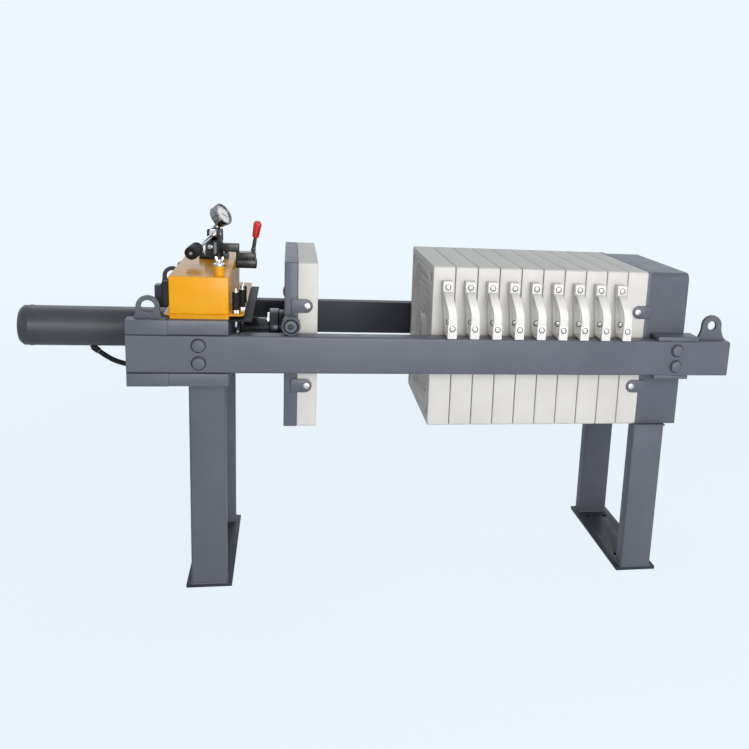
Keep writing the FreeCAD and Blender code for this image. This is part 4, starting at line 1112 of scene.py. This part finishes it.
capLow, capHigh = span("filler_cap")
capProfile = eased([(0, 0), (0, 0.015), (0.005, 0.015), (0.007, 0.013), (0.009, 0.006), (0.009, 0)], 0.0012)
addPiece("fillerCap", meshOf("fillerCap", [spun(capProfile, (neckMiddle[0], neckMiddle[1], capLow[2]),
                                                (0, 0, 1), 40)]
         + wingShapes(float(neckMiddle[0]), float(neckMiddle[1]), float(capHigh[2]) - 0.001)),
         "brightSteel", "frame", ["filler_cap"])

gripLow, gripHigh = span("tank_side_grips")
sideGrips = []
for y in (gripLow[1], gripHigh[1] - 0.036):
    sideGrips.append(softBlock((gripLow[0], y, gripLow[2]), (gripHigh[0], y + 0.036, gripHigh[2]), 0.006,
                               0.004, "y"))
    sideGrips.append(softBlock((gripLow[0] - 0.0012, y + 0.006, gripLow[2] + 0.008),
                               (gripLow[0] + 0.004, y + 0.030, gripHigh[2] - 0.012), 0.004, 0.001, "x"))
addPiece("sideGrips", meshOf("sideGrips", sideGrips), "blackRubber", "frame", ["tank_side_grips"])

coupling = {"places": ((0.016, 0.033), (0.030, 0.080), (0.030, 0.137)), "radius": 0.0096}
couplingLow, couplingHigh = span("oil_couplings")
sleeves, clamps, nuts = [], [], []
for out, along in coupling["places"]:
    x, y = coverHigh[0] + out, coverLow[1] + along
    high = couplingHigh[2] - couplingLow[2]
    turns = np.linspace(0, 1, 60)
    ribs = coupling["radius"] - 0.0006 + 0.0005 * np.sin(turns * 60)
    sleeve = np.concatenate([[(0, 0)], np.stack([turns * high, ribs], axis=-1), [(high, 0)]])
    sleeves.append(spun(sleeve, (x, y, couplingLow[2]), (0, 0, 1), 28))
    clamps.append(spun(eased([(-0.001, 0.004), (-0.001, 0.0062), (0.004, 0.0062), (0.006, 0.003),
                              (0.011, 0.0026), (0.011, 0)], 0.0008),
                       (x, y, couplingHigh[2]), (0, 0, 1), 24))
    nuts.append(hexBolt((x, y, couplingLow[2]), (0, 0, 1), 0.0092, 0.008))
addPiece("couplingSleeves", meshOf("couplingSleeves", sleeves), "blackRubber", "frame", ["oil_couplings"],
         sharp=60)
addPiece("couplingTips", meshOf("couplingTips", clamps + nuts), "zincScrew", "frame")
print("oil tank made")


# ---------- pump, lever and gauge ----------

turnAngle = math.radians(16)
pumpRight = np.array([math.cos(turnAngle), -math.sin(turnAngle), 0])
pumpBack = np.array([math.sin(turnAngle), math.cos(turnAngle), 0])
tankTop = float(coverHigh[2])
pump = {"x": float(coverHigh[0]) - 0.062, "y": 0.100, "foot": (0.066, 0.078, 0.012), "columnHigh": 0.054,
        "pivotHigh": 0.070}


def turned(shape):
    # a piece drawn about the pump's own upright axis, turned and set on the tank
    points, faces = shape
    base = np.array([pump["x"], pump["y"], tankTop])
    placed = base + points[:, :1] * pumpRight + points[:, 1:2] * pumpBack + points[:, 2:] * np.array([0, 0,
                                                                                                      1])
    return placed, faces


def pumpShapes():
    wide, deep, footHigh = pump["foot"]
    columnHigh = pump["columnHigh"]
    shapes = [turned(softBlock((-wide / 2, -deep / 2, 0), (wide / 2, deep / 2, footHigh), 0.008, 0.002, "z"))]
    cone = eased([(footHigh - 0.001, 0), (footHigh - 0.001, 0.029), (footHigh + 0.004, 0.026),
                  (columnHigh - 0.006, 0.024), (columnHigh, 0.020), (columnHigh, 0)], 0.003)
    shapes.append(turned(spun(cone, (0, 0, 0), (0, 0, 1), 48)))
    for x in (-0.0142, 0.0142):
        shapes.append(turned(softBlock((x - 0.0028, -0.013, columnHigh - 0.01), (x + 0.0028, 0.028, 0.083),
                                       0.006, 0.0012, "x", 6)))
    shapes.append(turned(softBlock((-0.017, 0.016, columnHigh - 0.01), (0.017, 0.028, 0.084), 0.003, 0.002,
                                   "z")))
    for x, y in ((-0.025, -0.031), (0.025, -0.031), (-0.025, 0.031), (0.025, 0.031)):
        shapes.append(turned(hexBolt((x, y, footHigh), (0, 0, 1), 0.005, 0.006)))
    armLow = tankTop + 0.020
    shapes.append(softBlock((pump["x"], pump["y"] - 0.014, armLow),
                            (float(coverHigh[0]) + 0.008, pump["y"] + 0.014, armLow + 0.024), 0.003, 0.002,
                            "x"))
    return shapes


addPiece("pumpCasting", meshOf("pumpCasting", pumpShapes()), "blackEnamel", "frame", ["pump_body"])
pinShape = turned(spun(eased([(-0.0195, 0), (-0.0195, 0.005), (-0.0175, 0.0055), (-0.0172, 0.004),
                              (0.0172, 0.004), (0.0175, 0.0055),
                              (0.0195, 0.005), (0.0195, 0)], 0.0004), (0, 0, pump["pivotHigh"]), (1, 0, 0),
                              24))
plugShape = turned(spun(eased([(0, 0), (0, 0.0075), (0.010, 0.0075), (0.013, 0.005), (0.013, 0)], 0.001),
                        (0, -0.0225, 0.034), (0, -1, 0), 28))
addPiece("leverPin", meshOf("leverPin", [pinShape, plugShape]), "brightSteel", "frame")

lever = {"drop": math.radians(12), "reach": 0.182, "radius": 0.0065, "hub": 0.013, "grip": 0.019,
         "gripLong": 0.052}
pivot = np.array([pump["x"], pump["y"], tankTop + pump["pivotHigh"]])
leverAhead = -pumpBack * math.cos(lever["drop"]) - np.array([0, 0, 1]) * math.sin(lever["drop"])


def leverShapes():
    hub = spun(eased([(-0.011, 0.0042), (-0.011, lever["hub"]), (0.011, lever["hub"]), (0.011, 0.0042),
                      (-0.011, 0.0042)], 0.0012), pivot, pumpRight, 40)
    tube = spun(eased([(0.008, 0), (0.008, lever["radius"]), (lever["reach"] - 0.002, lever["radius"]),
                       (lever["reach"] - 0.002, 0)], 0.001),
                pivot, leverAhead, 32)
    return [hub, tube]


def gripShape():
    # a fat sleeve with a waist, a collar and a small hole in its end
    r, end, start = lever["grip"], lever["reach"], lever["reach"] - lever["gripLong"]
    profile = eased([(start, 0.0064), (start, r - 0.004), (start + 0.004, r - 0.0015),
                     (start + 0.008, r - 0.0015), (start + 0.010, r - 0.004),
                     (start + 0.014, r - 0.004), (start + 0.017, r - 0.001), (end - 0.010, r - 0.0006),
                     (end - 0.002, r - 0.001), (end, r - 0.003),
                     (end, 0.005), (end - 0.006, 0.0045), (end - 0.006, 0)], 0.0015)
    return spun(profile, pivot, leverAhead, 48)


addPiece("leverTube", meshOf("leverTube", leverShapes()), "brightSteel", "pump_lever", ["pump_lever"])
addPiece("leverGrip", meshOf("leverGrip", [gripShape()]), "blackRubber", "pump_lever")

gauge = {"turn": math.radians(27), "tilt": math.radians(30), "radius": 0.033, "thick": 0.028, "fork": 0.084,
         "clear": 0.001,
         "stem": 0.006, "ticks": 31}
gauge["rise"] = gauge["fork"] + gauge["clear"] + gauge["radius"] * math.cos(gauge["tilt"])
gauge["facing"] = (math.cos(gauge["tilt"]) * math.cos(gauge["turn"]),
                   -math.cos(gauge["tilt"]) * math.sin(gauge["turn"]),
                   math.sin(gauge["tilt"]))
gaugeBase = np.array([pump["x"], pump["y"], tankTop]) + pumpBack * 0.022
gaugeCentre = gaugeBase + np.array([0, 0, gauge["rise"]])


def dialShapes():
    # short bars on a ring, three quarters of a turn, and one tapered needle
    facing = Vector(gauge["facing"]).normalized()
    side = facing.cross(Vector((0, 0, 1))).normalized()
    up = side.cross(facing)
    shapes = []
    lift = np.array(gaugeCentre) + np.array(facing) * (gauge["thick"] - 0.0048)
    for number, turn in enumerate(np.radians(np.linspace(-135, 135, gauge["ticks"]))):
        ray = np.array(side) * math.sin(turn) + np.array(up) * math.cos(turn)
        across = np.cross(ray, np.array(facing))
        inner = 0.0195 if number % 5 == 0 else 0.0215
        corners = [lift + ray * inner - across * 0.0004, lift + ray * inner + across * 0.0004,
                   lift + ray * 0.0245 + across * 0.0004, lift + ray * 0.0245 - across * 0.0004]
        grid = np.stack([np.array(corners), np.array(corners) + np.array(facing) * 0.0003])
        shapes.append(rings(grid))
    ray = np.array(side) * math.sin(-2.2) + np.array(up) * math.cos(-2.2)
    across = np.cross(ray, np.array(facing))
    corners = np.array([lift - ray * 0.005 - across * 0.0009, lift - ray * 0.005 + across * 0.0009,
                        lift + ray * 0.019 + across * 0.0002, lift + ray * 0.019 - across * 0.0002])
    shapes.append(rings(np.stack([corners + np.array(facing) * 0.0008, corners + np.array(facing) * 0.0014])))
    return shapes


t, r = gauge["thick"], gauge["radius"]
caseProfile = eased([(0, 0), (0, r - 0.004), (0.003, r - 0.002), (t - 0.009, r - 0.002), (t - 0.009, r),
                     (t, r), (t, r - 0.005), (t - 0.005, r - 0.006), (t - 0.005, 0)], 0.0012)
caseShape = spun(caseProfile, gaugeCentre, gauge["facing"], 56)
stemProfile = eased([(0, 0), (0, 0.010), (0.008, 0.010), (0.008, gauge["stem"]),
                     (gauge["rise"] - gauge["fork"], gauge["stem"]),
                     (gauge["rise"] - gauge["fork"], 0)], 0.0008)
stemShape = spun(stemProfile, (gaugeBase[0], gaugeBase[1], tankTop + gauge["fork"]), (0, 0, 1), 24)
addPiece("gaugeCase", meshOf("gaugeCase", [caseShape, stemShape]), "darkChrome", "frame", ["pressure_gauge"])
dialProfile = [(t - 0.0052, 0), (t - 0.0052, r - 0.0062), (t - 0.0049, r - 0.0062), (t - 0.0049, 0)]
addPiece("gaugeDial", meshOf("gaugeDial", [spun(dialProfile, gaugeCentre, gauge["facing"], 48)]),
         "paleDial", "frame")
addPiece("gaugeMarks", meshOf("gaugeMarks", dialShapes()), "blackEnamel", "frame")
print("pump and gauge made")


# ---------- valve ----------

valveLow, valveHigh = span("valve_block")
valve = {"lean": math.radians(9), "hub": 0.007, "stem": 0.036, "knob": 0.050}
waist = valveLow[2] + 0.024
valveShapes = [softBlock(valveLow, (valveHigh[0], valveHigh[1], waist), 0.003, 0.0025, "z"),
               softBlock((valveLow[0], valveLow[1] + 0.006, waist - 0.004),
                         (valveHigh[0] - 0.003, valveHigh[1] - 0.006, valveHigh[2]), 0.003, 0.002, "z")]
valveShapes.append(hexBolt((valveHigh[0] - 0.003, valveLow[1] + 0.018, valveLow[2] + 0.013), (1, 0, 0),
                           0.007, 0.0029))
addPiece("valveCasting", meshOf("valveCasting", valveShapes), "blackEnamel", "frame", ["valve_block"])
valvePivot = np.array([valveHigh[0] - 0.010, pump["y"], valveHigh[2] + valve["hub"] + 0.0003])
leanUp = np.array([math.sin(valve["lean"]), 0, math.cos(valve["lean"])])
hubShape = spun(eased([(-0.007, 0), (-0.007, 0.007), (0.007, 0.007), (0.007, 0)], 0.0008), valvePivot,
                (0, 1, 0), 32)
stemCorners = np.stack([roundedLoop(0.0058 - 0.0008 * share, 0.0028, 0.0012, 4)
                        for share in np.linspace(0, 1, 4)])
stemSide = np.array([math.cos(valve["lean"]), 0, -math.sin(valve["lean"])])
stemHeights = np.linspace(0.003, valve["stem"] + 0.002, 4)[:, None, None]
stemGrid = (valvePivot + stemHeights * leanUp + stemCorners[:, :, :1] * stemSide
            + stemCorners[:, :, 1:] * np.array([0, 1, 0]))
addPiece("valveStem", meshOf("valveStem", [hubShape, rings(stemGrid)]), "blackEnamel", "valve_lever",
         ["valve_lever"])
s, k = valve["stem"], valve["knob"]
knobProfile = eased([(s, 0), (s, 0.0078), (s + 0.002, 0.0092), (s + k * 0.55, 0.0112),
                     (s + k - 0.010, 0.0118), (s + k - 0.002, 0.0080), (s + k, 0.0)], 0.004, 7)
addPiece("valveKnob", meshOf("valveKnob", [spun(knobProfile, valvePivot, leanUp, 40)]), "redKnob",
         "valve_lever", sharp=60)
print("valve made")


# ---------- oil lines ----------

glandLow = span("cylinder_gland")[0]
barrelLow = span("cylinder_barrel")[0]
line = {"portShift": 0.177, "dip": math.radians(39), "portLong": 0.026, "hose": 0.007, "pipe": 0.005,
        "stubHigh": 0.020, "panel": 0.006,
        "gap": 0.0003}
seatFront, under = float(seatHigh[0]), float(seatLow[2])
stubLow = seatTop - line["panel"] - line["stubHigh"]
portStart = np.array([barrelLow[0] + line["portShift"], 0, stackHeight - barrel["radius"]])
portAhead = np.array([math.cos(line["dip"]), 0, -math.sin(line["dip"])])
hoseStart = portStart + portAhead * (line["portLong"] + line["gap"])
hoseNext = portStart + portAhead * (line["portLong"] + 0.035)
spots = [(float(coverHigh[0]) + out, float(coverLow[1]) + along) for out, along in coupling["places"]]
seatBack, stubEnd = float(seatLow[0]), stubLow - line["gap"]
hoseRoute = [
    tuple(hoseStart), tuple(hoseNext), (hoseStart[0] + 0.070, -0.004, under - 0.012), (seatBack + 0.015,
                                                                                       -0.008, under - 0.021),
    (seatBack + 0.095, -0.012, under - 0.025), (seatFront - 0.072, -0.015, under - 0.027),
    (seatFront + 0.010, -0.022, under - 0.022),
    (seatFront + 0.050, -0.048, under + 0.012), (seatFront + 0.056, -0.095, under + 0.048),
    (seatFront + 0.040, -0.158, under + 0.062),
    (*spots[1], stubLow - 0.035), (*spots[1], stubEnd)]
glandPort = (float(glandLow[0]) + 0.011, -0.078, stackHeight)
pipeRoute = [(*spots[2], stubEnd), (*spots[2], stubLow - 0.032), (glandPort[0], glandPort[1] - 0.024,
                                                                  stackHeight),
             (glandPort[0], glandPort[1] - line["gap"], stackHeight)]


def runLine(name, route, radius, material, node):
    # one smooth line through the route's own points, round all the way
    data = bpy.data.curves.new(name, "CURVE")
    data.dimensions = "3D"
    data.bevel_depth = radius
    data.bevel_resolution = 5
    data.resolution_u = 10
    data.use_fill_caps = True
    spline = data.splines.new("NURBS")
    spline.points.add(len(route) - 1)
    spline.points.foreach_set("co", np.concatenate([np.array(route, float), np.ones((len(route), 1))],
                                                   axis=1).ravel())
    spline.order_u = 3
    spline.use_endpoint_u = True
    data.materials.append(finish[material])
    piece = bpy.data.objects.new(name, data)
    bpy.context.scene.collection.objects.link(piece)
    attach(piece, "frame")
    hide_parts(node)
    return piece


runLine("returnHose", hoseRoute, line["hose"], "blackRubber", "return_hose")
runLine("glandPipe", pipeRoute, line["pipe"], "brightSteel", "gland_pipe")
ferrule = eased([(0, 0), (0, 0.0055), (0.006, 0.0055), (0.006, 0.0088), (0.026, 0.0088), (0.026, 0.0076),
                 (0.026, 0)], 0.001)
addPiece("portFerrule", meshOf("portFerrule", [spun(ferrule, portStart, portAhead, 32)]), "blackRubber",
         "frame")
fittingShapes = []
for x, y in spots:
    fittingShapes.append(spun(eased([(0, 0), (0, 0.0055), (0.020, 0.0055), (0.020, 0)], 0.0008),
                              (x, y, stubLow), (0, 0, 1), 28))
    fittingShapes.append(hexBolt((x, y, stubLow + 0.020), (0, 0, -1), 0.0078, 0.007))
fittingShapes.append(spun(eased([(-0.003, 0), (-0.003, 0.009), (0.009, 0.009), (0.009, 0)], 0.001),
                          (glandPort[0], glandPort[1] + 0.009, stackHeight), (0, -1, 0), 28))
addPiece("lineFittings", meshOf("lineFittings", fittingShapes), "brightSteel", "frame", ["hose_fittings"])
print("oil lines made")

shown = [name for name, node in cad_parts.items() if not node.hide_render]
print("packed pieces still shown:", shown)
for name in shown:
    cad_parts[name].data.materials.clear()
    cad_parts[name].data.materials.append(finish["greyPaint"])
